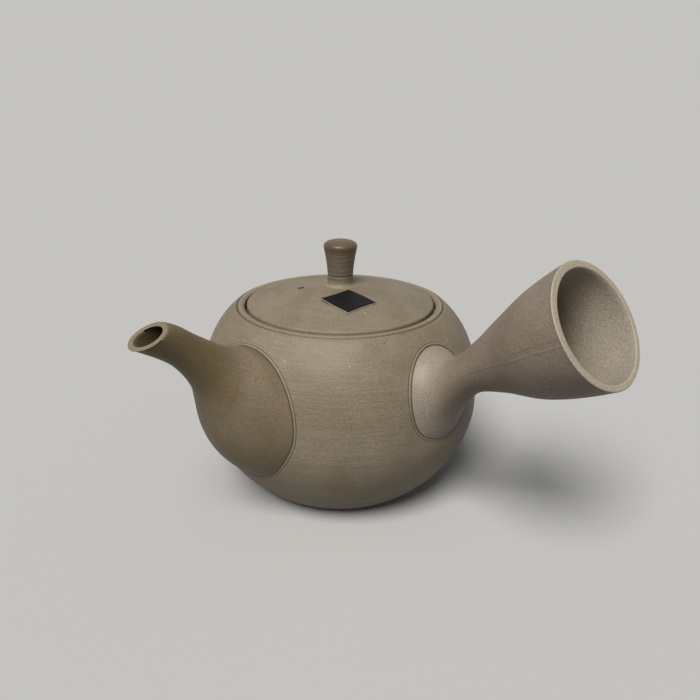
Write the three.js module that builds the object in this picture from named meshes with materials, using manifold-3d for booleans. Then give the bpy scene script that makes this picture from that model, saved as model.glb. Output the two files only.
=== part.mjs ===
// A side-handled Japanese teapot (kyusu) in unglazed stoneware: thrown pot with a gallery for its
// lid, spout with a pierced dome strainer behind it, hollow trumpet handle, drop-in lid with a
// turned knob, and a small paper label. Millimetres, +Z up. The origin is the centre of the flat
// foot. The spout pours towards -X and the handle points almost towards -Y.
import * as THREE from "three";
import { mergeVertices } from "three/addons/utils/BufferGeometryUtils.js";
import Module from "manifold-3d";

const wasm = await Module();
wasm.setup();

// Pot: outline of the outer wall, its wall and its floor
const FOOT_RADIUS = 32;
const FOOT_CHAMFER = 0.8;
const BELLY_RADIUS = 55;
const BELLY_HEIGHT = 37.3;
const BELLY_FULLNESS = 1.86; // exponent of the superellipse below the widest line
const SHOULDER_FULLNESS = 2.59; // exponent of the superellipse above it
const POT_WALL = 3;
const FLOOR_THICKNESS = 3.6;

// Collar and gallery, where the lid sits
const COLLAR_RADIUS = 40.7;
const COLLAR_HEIGHT = 75.1;
const COLLAR_RISE = 0.25;
const GROOVE_WIDTH = 0.9;
const GROOVE_DEPTH = 0.6;
const MOUTH_RADIUS = 37.4;
const GALLERY_DEPTH = 3.4;
const GALLERY_THICKNESS = 2.8;
const THROAT_RADIUS = 33.6;

// Lid and its knob
const LID_CLEARANCE = 0.95;
const LID_EDGE_RISE = 0.7; // of the lid's edge above the foot of the collar
const LID_EDGE_ROUNDING = 0.9;
const LID_EDGE_REACH = 1.5; // of that rounding, in from the edge
const LID_CROWN = 6.7;
const LID_FULLNESS = 1.8; // exponent of the radius in the crown's curve
const LID_THICKNESS = 3.2;
const FLANGE_CLEARANCE = 0.7;
const FLANGE_WALL = 2.6;
const FLANGE_DEPTH = 5.5;
const VENT_RADIUS = 1.1;
const VENT_OFFSET = 15.3;
const VENT_ANGLE = 136;
const KNOB_HEIGHT = 17.6;
const KNOB_FOOT_RADIUS = 6.3;
const KNOB_FOOT_FILLET = 1.4;
const KNOB_NECK_RADIUS = 4.95;
const KNOB_RIM_RADIUS = 6.5;
const KNOB_RIM_DEPTH = 2.4; // from the knob's top down to its widest line
const KNOB_GROOVE_HEIGHT = 4.1;
const KNOB_GROOVE_DEPTH = 0.3;
const KNOB_FLARE_POWER = 1.6; // of the height above the groove, in the neck's flare

// Spout and handle. Both are lofts of leaning ellipses, whose stations run from the foot to the
// mouth: out past the belly's widest line and up from it, half height, half width, lean in degrees.
const SPOUT_ANGLE = 180;
const SPOUT_WALL = 1.8;
const SPOUT_STATIONS = [
  { out: -8, up: 6.5, tall: 24.6, wide: 25.1, lean: 4.3 },
  { out: -0.8, up: 11.9, tall: 21.9, wide: 20.3, lean: 10.1 },
  { out: 4, up: 17.3, tall: 17.8, wide: 15.7, lean: 16.2 },
  { out: 7.7, up: 23.9, tall: 12.9, wide: 11.3, lean: 21.7 },
  { out: 11.9, up: 30.9, tall: 9, wide: 8.1, lean: 22.5 },
  { out: 18.6, up: 38.2, tall: 6.6, wide: 6.3, lean: 24.4 },
  { out: 24, up: 42.8, tall: 6, wide: 5.8, lean: 40.3 },
  { out: 31.6, up: 47.3, tall: 6.8, wide: 6.1, lean: 66.3 },
];
const HANDLE_ANGLE = 265.5;
const HANDLE_WALL = 2.3;
const HANDLE_STATIONS = [
  { out: -5.6, up: 17.2, tall: 17.5, wide: 18.2, lean: 18.7 },
  { out: -0.8, up: 16.2, tall: 14.6, wide: 12.2, lean: 8 },
  { out: 5.2, up: 22.9, tall: 10.5, wide: 9.8, lean: 3.4 },
  { out: 13.2, up: 31.9, tall: 9.5, wide: 9.8, lean: 5.7 },
  { out: 23.5, up: 39.3, tall: 12.6, wide: 12.3, lean: 15.6 },
  { out: 36.3, up: 46.6, tall: 17.3, wide: 17, lean: 24.7 },
  { out: 51.6, up: 56.5, tall: 19.8, wide: 19.7, lean: 33.9 },
];
const JOINT_GAP = 0.3; // between the pot's wall and the foot of the spout or the handle

// Strainer, a pierced dome that bulges into the pot from its pour hole
const POUR_RADIUS = 15;
const POUR_RISE = 6; // of the pour hole's centre above the belly's widest line
const STRAINER_CLEARANCE = 0.3;
const STRAINER_BULGE = 6.5;
const STRAINER_THICKNESS = 2;
const STRAINER_SKIRT = 3;
const STRAINER_HOLE_RADIUS = 0.8;
const STRAINER_HOLE_PITCH = 2.9;

// Paper label on the lid, a rhombus with one corner to the front
const LABEL_WIDTH = 20.7;
const LABEL_DEPTH = 18.2;
const LABEL_THICKNESS = 0.3;
const LABEL_LIFT = 0.15;
const LABEL_OFFSET = 17.1;
const LABEL_ANGLE = 232.8;
const LABEL_TURN = -12; // of its front corner, away from straight out

// Fineness of the facets, and the cutters
const POT_SEGMENTS = 56;
const POT_STEPS = 17;
const COLLAR_STEPS = 5;
const POUR_SEGMENTS = 36;
const SPOUT_MESH = { outside: [17, 22], inside: [13, 18] }; // steps along, sides round
const HANDLE_MESH = { outside: [16, 26], inside: [12, 22] };
const LID_STEPS = 8;
const LID_UNDER_STEPS = 5;
const VENT_SEGMENTS = 16;
const KNOB_SEGMENTS = 24;
const KNOB_STEPS = 5;
const STRAINER_SEGMENTS = 24;
const STRAINER_STEPS = 4;
const STRAINER_HOLE_SIDES = 6;
const LABEL_CELLS = 4;
const MERGE_TOLERANCE = 1e-4; // between corners that are one
const SLOPE_STEP = 0.01; // height between two radii that give the wall's slope
const OVERRUN = 3; // of a cutter past the face that it opens

const radians = THREE.MathUtils.degToRad;
const point = (r, z) => new THREE.Vector2(r, z);
const range = (count) => [...Array(count).keys()];

// Solid of a geometry: only its positions are kept, and its shared corners are merged
function solid(geometry) {
  const bare = geometry.index ? geometry.toNonIndexed() : geometry;
  const positions = new THREE.BufferGeometry();
  positions.setAttribute("position", bare.getAttribute("position"));
  const merged = mergeVertices(positions, MERGE_TOLERANCE);
  return new wasm.Manifold(
    new wasm.Mesh({
      numProp: 3,
      vertProperties: new Float32Array(merged.attributes.position.array),
      triVerts: new Uint32Array(merged.index.array),
    }),
  );
}

function surfaceOf(manifold) {
  const { vertProperties, triVerts } = manifold.getMesh();
  const geometry = new THREE.BufferGeometry();
  geometry.setAttribute("position", new THREE.BufferAttribute(vertProperties, 3));
  geometry.setIndex(new THREE.BufferAttribute(triVerts, 1));
  geometry.computeVertexNormals();
  return geometry;
}

function indexedSolid(corners, index) {
  const geometry = new THREE.BufferGeometry();
  geometry.setAttribute("position", new THREE.Float32BufferAttribute(corners, 3));
  geometry.setIndex(index);
  return solid(geometry);
}

// Turned body round Z. Its profile runs from the axis at the bottom, outside, to the axis at the top.
function turned(profile, segments) {
  return new THREE.LatheGeometry(profile, segments).rotateX(Math.PI / 2);
}

// Points of an ellipse's arc, from one angle in degrees to another
function arc(centre, across, high, from, to, steps) {
  return range(steps + 1).map((i) => {
    const angle = radians(from + ((to - from) * i) / steps);
    return point(centre.x + across * Math.cos(angle), centre.y + high * Math.sin(angle));
  });
}

// The outer wall is two superellipses that meet at the widest line. Each one's height is chosen so
// that it passes through its end, the foot below and the collar above.
const WALL_FOOT = point(FOOT_RADIUS + FOOT_CHAMFER, FOOT_CHAMFER);
const quarterHeight = (rise, radius, fullness) =>
  rise / (1 - (radius / BELLY_RADIUS) ** fullness) ** (1 / fullness);
const BELLY_QUARTER = quarterHeight(BELLY_HEIGHT - WALL_FOOT.y, WALL_FOOT.x, BELLY_FULLNESS);
const SHOULDER_QUARTER = quarterHeight(COLLAR_HEIGHT - BELLY_HEIGHT, COLLAR_RADIUS, SHOULDER_FULLNESS);

function wallRadius(height) {
  const above = height > BELLY_HEIGHT;
  const fullness = above ? SHOULDER_FULLNESS : BELLY_FULLNESS;
  const share = Math.abs(height - BELLY_HEIGHT) / (above ? SHOULDER_QUARTER : BELLY_QUARTER);
  return BELLY_RADIUS * (1 - share ** fullness) ** (1 / fullness);
}

// Points of the outer wall from the foot to a height, moved out square to it by an offset
function wall(top, steps, offset = 0) {
  return range(steps + 1).map((i) => {
    const height = WALL_FOOT.y + ((top - WALL_FOOT.y) * i) / steps;
    const slope = (wallRadius(height) - wallRadius(height - SLOPE_STEP)) / SLOPE_STEP;
    const length = Math.hypot(1, slope);
    return point(wallRadius(height) + offset / length, height - (offset * slope) / length);
  });
}

const LEDGE_HEIGHT = COLLAR_HEIGHT - GALLERY_DEPTH;
const POUR_HEIGHT = BELLY_HEIGHT + POUR_RISE;
const INNER_RADIUS = BELLY_RADIUS - POT_WALL;

function potSolid() {
  const underGallery = LEDGE_HEIGHT - GALLERY_THICKNESS;
  const collarOuter = COLLAR_RADIUS - GROOVE_WIDTH / 2;
  const collarCentre = point((collarOuter + MOUTH_RADIUS) / 2, COLLAR_HEIGHT);
  const cavity = wall(COLLAR_HEIGHT, POT_STEPS + 1, -POT_WALL).filter(
    ({ y }) => y > FLOOR_THICKNESS + POT_WALL / 2 && y < underGallery - GALLERY_THICKNESS / 2,
  );
  const floorRadius = cavity[0].x - POT_WALL / 2;
  const profile = [
    point(0, 0),
    point(FOOT_RADIUS, 0),
    ...wall(COLLAR_HEIGHT - GROOVE_WIDTH / 2, POT_STEPS),
    point(COLLAR_RADIUS - GROOVE_DEPTH / 2, COLLAR_HEIGHT - GROOVE_DEPTH),
    ...arc(collarCentre, (collarOuter - MOUTH_RADIUS) / 2, COLLAR_RISE, 0, 180, COLLAR_STEPS),
    point(MOUTH_RADIUS, LEDGE_HEIGHT),
    point(THROAT_RADIUS, LEDGE_HEIGHT),
    point(THROAT_RADIUS, underGallery),
    ...cavity.reverse(),
    point(floorRadius, FLOOR_THICKNESS),
    point(0, FLOOR_THICKNESS),
  ];
  const length = POUR_RADIUS + 2 * (POT_WALL + OVERRUN);
  const drill = new THREE.CylinderGeometry(POUR_RADIUS, POUR_RADIUS, length, POUR_SEGMENTS);
  drill.rotateZ(Math.PI / 2).translate(BELLY_RADIUS + OVERRUN - length / 2, 0, POUR_HEIGHT);
  drill.rotateZ(radians(SPOUT_ANGLE));
  return solid(turned(profile, POT_SEGMENTS)).subtract(solid(drill));
}

// All the space that the pot takes up as far as its collar, with the joint's gap added
function potSpace() {
  const skin = wall(COLLAR_HEIGHT, POT_STEPS, JOINT_GAP);
  const profile = [point(0, -OVERRUN), point(skin[0].x, -OVERRUN), ...skin, point(0, skin.at(-1).y)];
  return solid(turned(profile, POT_SEGMENTS));
}

// Cubic through the stations, at a share of the way from the foot to the mouth. Its slope at a
// station comes from both neighbours, and at an end from a parabola through the last three.
function stationAt(stations, share, key) {
  const last = stations.length - 1;
  const place = Math.min(share * last, last - 1e-9);
  const i = Math.floor(place);
  const w = place - i;
  const v = (k) => stations[k][key];
  const slope = (k) => {
    if (k === 0) return (-3 * v(0) + 4 * v(1) - v(2)) / 2;
    if (k === last) return (3 * v(last) - 4 * v(last - 1) + v(last - 2)) / 2;
    return (v(k + 1) - v(k - 1)) / 2;
  };
  const rest = 1 - w;
  const ends = v(i) * (1 + 2 * w) * rest * rest + v(i + 1) * w * w * (3 - 2 * w);
  return ends + slope(i) * w * rest * rest - slope(i + 1) * w * w * rest;
}

// Loft of leaning ellipses along +X. An inset draws it in by a wall, and an overrun carries its
// mouth on past the last section. Its foot always runs on into the pot.
function loft(stations, [steps, sides], inset, overrun) {
  const rings = range(steps + 1).map((i) => {
    const at = (key) => stationAt(stations, i / steps, key);
    const lean = radians(at("lean"));
    return {
      centre: point(BELLY_RADIUS + at("out"), BELLY_HEIGHT + at("up")),
      rise: point(-Math.sin(lean), Math.cos(lean)).multiplyScalar(at("tall") - inset),
      wide: at("wide") - inset,
    };
  });
  rings.unshift({ ...rings[0], centre: rings[0].centre.clone().sub(point(2 * OVERRUN, 0)) });
  if (overrun > 0) {
    const mouth = rings.at(-1);
    const outward = point(mouth.rise.y, -mouth.rise.x).setLength(overrun);
    rings.push({ ...mouth, centre: mouth.centre.clone().add(outward) });
  }
  const corners = rings.flatMap(({ centre, rise, wide }) =>
    range(sides).flatMap((k) => {
      const angle = (2 * Math.PI * k) / sides;
      const up = Math.sin(angle);
      return [centre.x + rise.x * up, wide * Math.cos(angle), centre.y + rise.y * up];
    }),
  );
  const start = rings.length * sides;
  const end = (rings.length - 1) * sides;
  for (const { centre } of [rings[0], rings.at(-1)]) corners.push(centre.x, 0, centre.y);
  const index = range(sides).flatMap((k) => {
    const n = (k + 1) % sides;
    const walls = range(rings.length - 1).flatMap((i) => {
      const [a, b] = [i * sides, (i + 1) * sides];
      return [a + k, b + n, b + k, a + k, a + n, b + n];
    });
    return [...walls, start, n, k, start + 1, end + k, end + n];
  });
  return indexedSolid(corners, index);
}

function spoutSolid(space) {
  const outside = loft(SPOUT_STATIONS, SPOUT_MESH.outside, 0, 0);
  const bore = loft(SPOUT_STATIONS, SPOUT_MESH.inside, SPOUT_WALL, OVERRUN);
  return outside.subtract(bore).subtract(space);
}

function handleSolid(space) {
  const outside = loft(HANDLE_STATIONS, HANDLE_MESH.outside, 0, 0);
  const hollow = loft(HANDLE_STATIONS, HANDLE_MESH.inside, HANDLE_WALL, OVERRUN);
  return outside.subtract(hollow).subtract(space);
}

// Dome with its crown up and its skirt's foot at z = 0, pierced in rings of six, twelve and so on
function strainerSolid() {
  const outer = POUR_RADIUS - STRAINER_CLEARANCE;
  const inner = outer - STRAINER_THICKNESS;
  const hollowBulge = STRAINER_BULGE - STRAINER_THICKNESS / 2;
  const crown = (radius, bulge) => {
    const ball = (radius ** 2 + bulge ** 2) / (2 * bulge);
    const reach = THREE.MathUtils.radToDeg(Math.asin(radius / ball));
    const centre = point(0, STRAINER_SKIRT + bulge - ball);
    return (from, to) => arc(centre, ball, ball, 90 - reach * from, 90 - reach * to, STRAINER_STEPS);
  };
  const profile = [
    ...crown(inner, hollowBulge)(0, 1),
    point(inner, 0),
    point(outer, 0),
    ...crown(outer, STRAINER_BULGE)(1, 0),
  ];
  const drills = [];
  const rings = Math.floor((inner - STRAINER_HOLE_RADIUS) / STRAINER_HOLE_PITCH);
  for (const ring of range(rings + 1)) {
    const holes = Math.max(1, 6 * ring);
    for (const k of range(holes)) {
      const angle = (2 * Math.PI * k) / holes;
      const height = 2 * (STRAINER_SKIRT + STRAINER_BULGE + OVERRUN);
      const radius = STRAINER_HOLE_RADIUS;
      const drill = new THREE.CylinderGeometry(radius, radius, height, STRAINER_HOLE_SIDES);
      const offset = ring * STRAINER_HOLE_PITCH;
      drill.rotateX(Math.PI / 2).translate(offset * Math.cos(angle), offset * Math.sin(angle), 0);
      drills.push(solid(drill));
    }
  }
  return solid(turned(profile, STRAINER_SEGMENTS)).subtract(wasm.Manifold.union(drills));
}

const LID_RADIUS = MOUTH_RADIUS - LID_CLEARANCE;
const LID_EDGE_HEIGHT = COLLAR_HEIGHT + LID_EDGE_RISE;
const lidTop = (radius) => LID_EDGE_HEIGHT + LID_CROWN * (1 - (radius / LID_RADIUS) ** LID_FULLNESS);
const KNOB_SEAT_RADIUS = KNOB_FOOT_RADIUS + JOINT_GAP;
const KNOB_SEAT_HEIGHT = lidTop(KNOB_SEAT_RADIUS);

function lidSolid() {
  const flangeOuter = THROAT_RADIUS - FLANGE_CLEARANCE;
  const flangeInner = flangeOuter - FLANGE_WALL;
  const edge = LID_RADIUS - LID_EDGE_REACH;
  const underside = range(LID_UNDER_STEPS + 1).map((i) => {
    const radius = (flangeInner * i) / LID_UNDER_STEPS;
    return point(radius, lidTop(radius) - LID_THICKNESS);
  });
  const topside = range(LID_STEPS + 1).map((i) => {
    const radius = edge + ((KNOB_SEAT_RADIUS - edge) * i) / LID_STEPS;
    return point(radius, lidTop(radius));
  });
  const rim = point(edge, lidTop(edge) - LID_EDGE_ROUNDING);
  const profile = [
    ...underside,
    point(flangeInner, LEDGE_HEIGHT - FLANGE_DEPTH),
    point(flangeOuter, LEDGE_HEIGHT - FLANGE_DEPTH),
    point(flangeOuter, LEDGE_HEIGHT),
    point(LID_RADIUS, LEDGE_HEIGHT),
    ...arc(rim, LID_EDGE_REACH, LID_EDGE_ROUNDING, 0, 60, 2),
    ...topside,
    point(0, KNOB_SEAT_HEIGHT),
  ];
  const height = 2 * (LID_CROWN + LID_THICKNESS + OVERRUN);
  const drill = new THREE.CylinderGeometry(VENT_RADIUS, VENT_RADIUS, height, VENT_SEGMENTS);
  drill.rotateX(Math.PI / 2).translate(VENT_OFFSET, 0, LID_EDGE_HEIGHT).rotateZ(radians(VENT_ANGLE));
  return solid(turned(profile, POT_SEGMENTS)).subtract(solid(drill));
}

function knobSolid() {
  const rimHeight = KNOB_HEIGHT - KNOB_RIM_DEPTH;
  const flare = range(KNOB_STEPS).map((i) => {
    const share = (i + 1) / KNOB_STEPS;
    const spread = (KNOB_RIM_RADIUS - KNOB_NECK_RADIUS) * share ** KNOB_FLARE_POWER;
    return point(KNOB_NECK_RADIUS + spread, KNOB_GROOVE_HEIGHT + (rimHeight - KNOB_GROOVE_HEIGHT) * share);
  });
  const fillet = point(KNOB_FOOT_RADIUS, KNOB_FOOT_FILLET);
  const profile = [
    point(0, 0),
    ...arc(fillet, KNOB_FOOT_RADIUS - KNOB_NECK_RADIUS, KNOB_FOOT_FILLET, 270, 180, 3),
    point(KNOB_NECK_RADIUS, KNOB_GROOVE_HEIGHT - KNOB_GROOVE_DEPTH),
    point(KNOB_NECK_RADIUS - KNOB_GROOVE_DEPTH, KNOB_GROOVE_HEIGHT),
    point(KNOB_NECK_RADIUS, KNOB_GROOVE_HEIGHT + KNOB_GROOVE_DEPTH),
    ...flare,
    ...arc(point(0, rimHeight), KNOB_RIM_RADIUS, KNOB_RIM_DEPTH, 25, 90, 4),
  ];
  return solid(turned(profile, KNOB_SEGMENTS));
}

// Thin sheet that follows the lid's crown, as a grid between its four corners
function labelSolid() {
  const cells = LABEL_CELLS;
  const row = cells + 1;
  const heading = radians(LABEL_ANGLE + LABEL_TURN);
  const middle = point(Math.cos(radians(LABEL_ANGLE)), Math.sin(radians(LABEL_ANGLE)));
  middle.multiplyScalar(LABEL_OFFSET);
  const corners = [0, LABEL_THICKNESS].flatMap((level) =>
    range(row * row).flatMap((k) => {
      const [u, v] = [Math.floor(k / row) / cells, (k % row) / cells];
      const place = point(((u + v - 1) * LABEL_DEPTH) / 2, ((v - u) * LABEL_WIDTH) / 2);
      place.rotateAround(point(0, 0), heading).add(middle);
      return [place.x, place.y, lidTop(place.length()) + LABEL_LIFT + level];
    }),
  );
  const at = (level, i, j) => level * row * row + i * row + j;
  const face = (a, b, c, d) => [a, b, c, a, c, d];
  const index = range(cells).flatMap((i) => [
    ...range(cells).flatMap((j) => [
      ...face(at(1, i, j), at(1, i + 1, j), at(1, i + 1, j + 1), at(1, i, j + 1)),
      ...face(at(0, i, j), at(0, i, j + 1), at(0, i + 1, j + 1), at(0, i + 1, j)),
    ]),
    ...face(at(0, i, 0), at(0, i + 1, 0), at(1, i + 1, 0), at(1, i, 0)),
    ...face(at(0, i + 1, cells), at(0, i, cells), at(1, i, cells), at(1, i + 1, cells)),
    ...face(at(0, 0, i + 1), at(0, 0, i), at(1, 0, i), at(1, 0, i + 1)),
    ...face(at(0, cells, i), at(0, cells, i + 1), at(1, cells, i + 1), at(1, cells, i)),
  ]);
  return indexedSolid(corners, index);
}

const clay = new THREE.MeshStandardMaterial({ color: 0x8c7c6b, roughness: 0.85, metalness: 0 });
const spoutClay = new THREE.MeshStandardMaterial({ color: 0x7d6a52, roughness: 0.82, metalness: 0 });
const handleClay = new THREE.MeshStandardMaterial({ color: 0x877467, roughness: 0.85, metalness: 0 });
const knobClay = new THREE.MeshStandardMaterial({ color: 0x7a5c45, roughness: 0.5, metalness: 0 });
const paper = new THREE.MeshStandardMaterial({ color: 0x171719, roughness: 0.6, metalness: 0 });

function piece(name, shape, material, parent) {
  const mesh = new THREE.Mesh(surfaceOf(shape), material);
  mesh.name = name;
  parent.add(mesh);
  return mesh;
}

const teapot = new THREE.Group();
const space = potSpace();
piece("pot_body", potSolid(), clay, teapot);

const spoutSide = new THREE.Group();
spoutSide.rotation.z = radians(SPOUT_ANGLE);
teapot.add(spoutSide);
piece("spout", spoutSolid(space), spoutClay, spoutSide);
const strainer = piece("strainer", strainerSolid(), clay, spoutSide);
strainer.rotation.y = -Math.PI / 2;
strainer.position.set(INNER_RADIUS + STRAINER_SKIRT / 2, 0, POUR_HEIGHT);

const handleSide = new THREE.Group();
handleSide.rotation.z = radians(HANDLE_ANGLE);
teapot.add(handleSide);
piece("handle", handleSolid(space), handleClay, handleSide);

const lidGroup = new THREE.Group();
teapot.add(lidGroup);
piece("lid", lidSolid(), clay, lidGroup);
piece("lid_knob", knobSolid(), knobClay, lidGroup).position.z = KNOB_SEAT_HEIGHT;
piece("label", labelSolid(), paper, lidGroup);

export default teapot;
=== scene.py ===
"""Dresses a side-handled Japanese teapot (kyusu) in unglazed clay around its fixed CAD frame.

Every surface is worked out with numpy in millimetres, in the frame's own axes, and goes into its
mesh in metres. The pot's axis is Z, the spout pours towards -X and the handle points towards -Y.
"""

import logging
from collections.abc import Callable, Iterator, Sequence
from dataclasses import dataclass, field
from enum import Enum

import bpy
import numpy as np
from mathutils import Matrix
from numpy.typing import NDArray


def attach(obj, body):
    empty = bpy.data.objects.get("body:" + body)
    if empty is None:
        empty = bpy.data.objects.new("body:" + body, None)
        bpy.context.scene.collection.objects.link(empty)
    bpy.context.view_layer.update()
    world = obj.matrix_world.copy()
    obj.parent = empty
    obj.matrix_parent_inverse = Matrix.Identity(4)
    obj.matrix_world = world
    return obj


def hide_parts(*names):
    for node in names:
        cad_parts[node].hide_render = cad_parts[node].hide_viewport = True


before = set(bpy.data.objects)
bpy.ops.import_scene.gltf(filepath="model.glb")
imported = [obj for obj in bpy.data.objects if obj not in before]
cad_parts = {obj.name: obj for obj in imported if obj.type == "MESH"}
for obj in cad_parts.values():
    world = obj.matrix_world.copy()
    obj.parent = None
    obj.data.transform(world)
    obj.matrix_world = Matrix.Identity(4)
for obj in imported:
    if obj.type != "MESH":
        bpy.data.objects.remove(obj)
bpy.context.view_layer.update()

log = logging.getLogger("kyusu")
Points = NDArray[np.float64]
Faces = NDArray[np.int64]
Colour = tuple[float, float, float]
MM = 0.001
# Painted where a distance in millimetres doesn't matter, so that no patch reaches it.
FAR = 60.0


class Body(Enum):
    """The two rigid bodies of the frame that pieces ride on."""

    POT = "pot"
    LID = "lid"


class Mark(Enum):
    """Values painted on a mesh's corners for its material to read."""

    SEAM = "seam_mm"
    GROOVE = "groove_mm"
    LIP = "lip"
    INSIDE = "inside"
    FOOT = "foot_mm"
    ALONG = "along"
    PARTING = "parting_mm"
    RISE = "rise_mm"
    VENT = "vent_mm"


@dataclass
class Surface:
    """A closed surface in millimetres.

    Attributes:
        points: Corner positions, one row each.
        quads: Corners of the four-sided faces.
        tris: Corners of the three-sided faces.
        marks: Painted values for each corner, by mark.
        second: True for the quads that take the piece's second material.
    """

    points: Points
    quads: Faces
    tris: Faces = field(default_factory=lambda: np.empty((0, 3), int))
    marks: dict[Mark, Points] = field(default_factory=dict)
    second: NDArray[np.bool_] | None = None

    def volume(self) -> float:
        """Sums the volumes of the tetrahedra from the origin to each face.

        Returns:
            The signed volume, which is positive when the faces point outwards.
        """
        halves = (self.quads[:, [0, 1, 2]], self.quads[:, [0, 2, 3]], self.tris)
        corners = self.points[np.vstack(halves)]
        return float(np.einsum("ij,ij->", corners[:, 0], np.cross(corners[:, 1], corners[:, 2])) / 6)

    def tidied(self) -> "Surface":
        """Drops unused corners and turns the faces outwards.

        Returns:
            The clean surface.
        """
        used = np.unique(np.concatenate([self.quads.ravel(), self.tris.ravel()]))
        place = np.full(len(self.points), -1)
        place[used] = np.arange(len(used))
        marks = {mark: values[used] for mark, values in self.marks.items()}
        clean = Surface(self.points[used], place[self.quads], place[self.tris], marks, self.second)
        if clean.volume() < 0:
            clean.quads, clean.tris = clean.quads[:, ::-1], clean.tris[:, ::-1]
        return clean


def add_piece(
    name: str,
    surface: Surface,
    body: Body,
    materials: Sequence[bpy.types.Material],
    stands_for: str | None = None,
) -> bpy.types.Object:
    """Puts a surface into the scene as a smooth mesh that rides on a body.

    Args:
        name: The object's name.
        surface: Its closed surface, in millimetres.
        body: The body that it moves with.
        materials: One material, or two where some quads are marked as second.
        stands_for: The CAD node that it replaces, if any.

    Returns:
        The new object, at the origin and unturned.
    """
    surface = surface.tidied()
    mesh = bpy.data.meshes.new(name)
    mesh.vertices.add(len(surface.points))
    mesh.vertices.foreach_set("co", (surface.points * MM).ravel())
    corners = np.concatenate([surface.quads.ravel(), surface.tris.ravel()])
    sizes = np.repeat([4, 3], [len(surface.quads), len(surface.tris)])
    mesh.loops.add(len(corners))
    mesh.loops.foreach_set("vertex_index", corners)
    mesh.polygons.add(len(sizes))
    mesh.polygons.foreach_set("loop_start", np.concatenate([[0], np.cumsum(sizes)[:-1]]))
    mesh.polygons.foreach_set("use_smooth", np.ones(len(sizes), bool))
    for material in materials:
        mesh.materials.append(material)
    if surface.second is not None:
        choice = np.concatenate([surface.second, np.zeros(len(surface.tris), bool)])
        mesh.polygons.foreach_set("material_index", choice.astype(int))
    mesh.update(calc_edges=True)
    for mark, values in surface.marks.items():
        layer = mesh.attributes.new(mark.value, "FLOAT", "POINT")
        layer.data.foreach_set("value", values.astype(np.float32))
    piece = bpy.data.objects.new(name, mesh)
    bpy.context.scene.collection.objects.link(piece)
    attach(piece, body.value)
    if stands_for:
        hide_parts(stands_for)
    log.info("%s: %d faces on %s", name, len(sizes), body.value)
    return piece


def ring_quads(rows: int, columns: int, closed_rows: bool = False) -> Faces:
    """Returns the quads of a grid whose columns join up all round.

    Args:
        rows: Number of rows of corners.
        columns: Corners in each row.
        closed_rows: Whether the last row joins the first, as on a ring.

    Returns:
        One quad for each cell, in row order.
    """
    row, column = np.meshgrid(np.arange(rows if closed_rows else rows - 1), np.arange(columns), indexing="ij")
    after, beside = (row + 1) % rows, (column + 1) % columns
    here, there = row * columns, after * columns
    cells = (here + column, here + beside, there + beside, there + column)
    return np.stack(cells, axis=-1).reshape(-1, 4)


def arc(
    centre: tuple[float, float], across: float, high: float, start: float, end: float, count: int
) -> Points:
    """Returns points of an ellipse's arc between two angles in degrees, both ends included."""
    angle = np.radians(np.linspace(start, end, count))
    return np.column_stack([centre[0] + across * np.cos(angle), centre[1] + high * np.sin(angle)])


def ripple(places: Points, waves: Sequence[float], seed: int) -> Points:
    """Sums sine waves of several lengths with seeded phases, which gives a gentle uneven ripple.

    Args:
        places: Where along the surface to work it out, in millimetres.
        waves: The wavelengths, in millimetres.
        seed: Seed of the phases.

    Returns:
        Values of about -1 to 1.
    """
    phases = np.random.default_rng(seed).uniform(0, 2 * np.pi, len(waves))
    return sum(np.sin(2 * np.pi * places / wave + phase) for wave, phase in zip(waves, phases)) / len(waves)


@dataclass(frozen=True)
class Hole:
    """A round hole through the wall of a turned shell.

    Attributes:
        centre: A point on its axis.
        radius: Its radius.
        plane: The two axes that it is round in, as column numbers.
        side: A direction, so that only the wall on that side of the pot's axis is pierced.
    """

    centre: tuple[float, float, float]
    radius: float
    plane: tuple[int, int]
    side: tuple[float, float, float]

    def holds(self, points: Points) -> NDArray[np.bool_]:
        """Returns which points lie inside the hole's cylinder, on its own side of the pot."""
        away = points[..., self.plane] - np.array(self.centre)[list(self.plane)]
        return (np.hypot(away[..., 0], away[..., 1]) < self.radius) & (points @ np.array(self.side) >= 0)

    def on_edge(self, points: Points) -> Points:
        """Moves points straight out or in, to the hole's circle in its own plane.

        Args:
            points: Points near the circle, one row each.

        Returns:
            The moved points.
        """
        moved = points.copy()
        axes = list(self.plane)
        away = points[:, axes] - np.array(self.centre)[axes]
        away *= self.radius / np.linalg.norm(away, axis=1, keepdims=True)
        moved[:, axes] = np.array(self.centre)[axes] + away
        return moved


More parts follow.
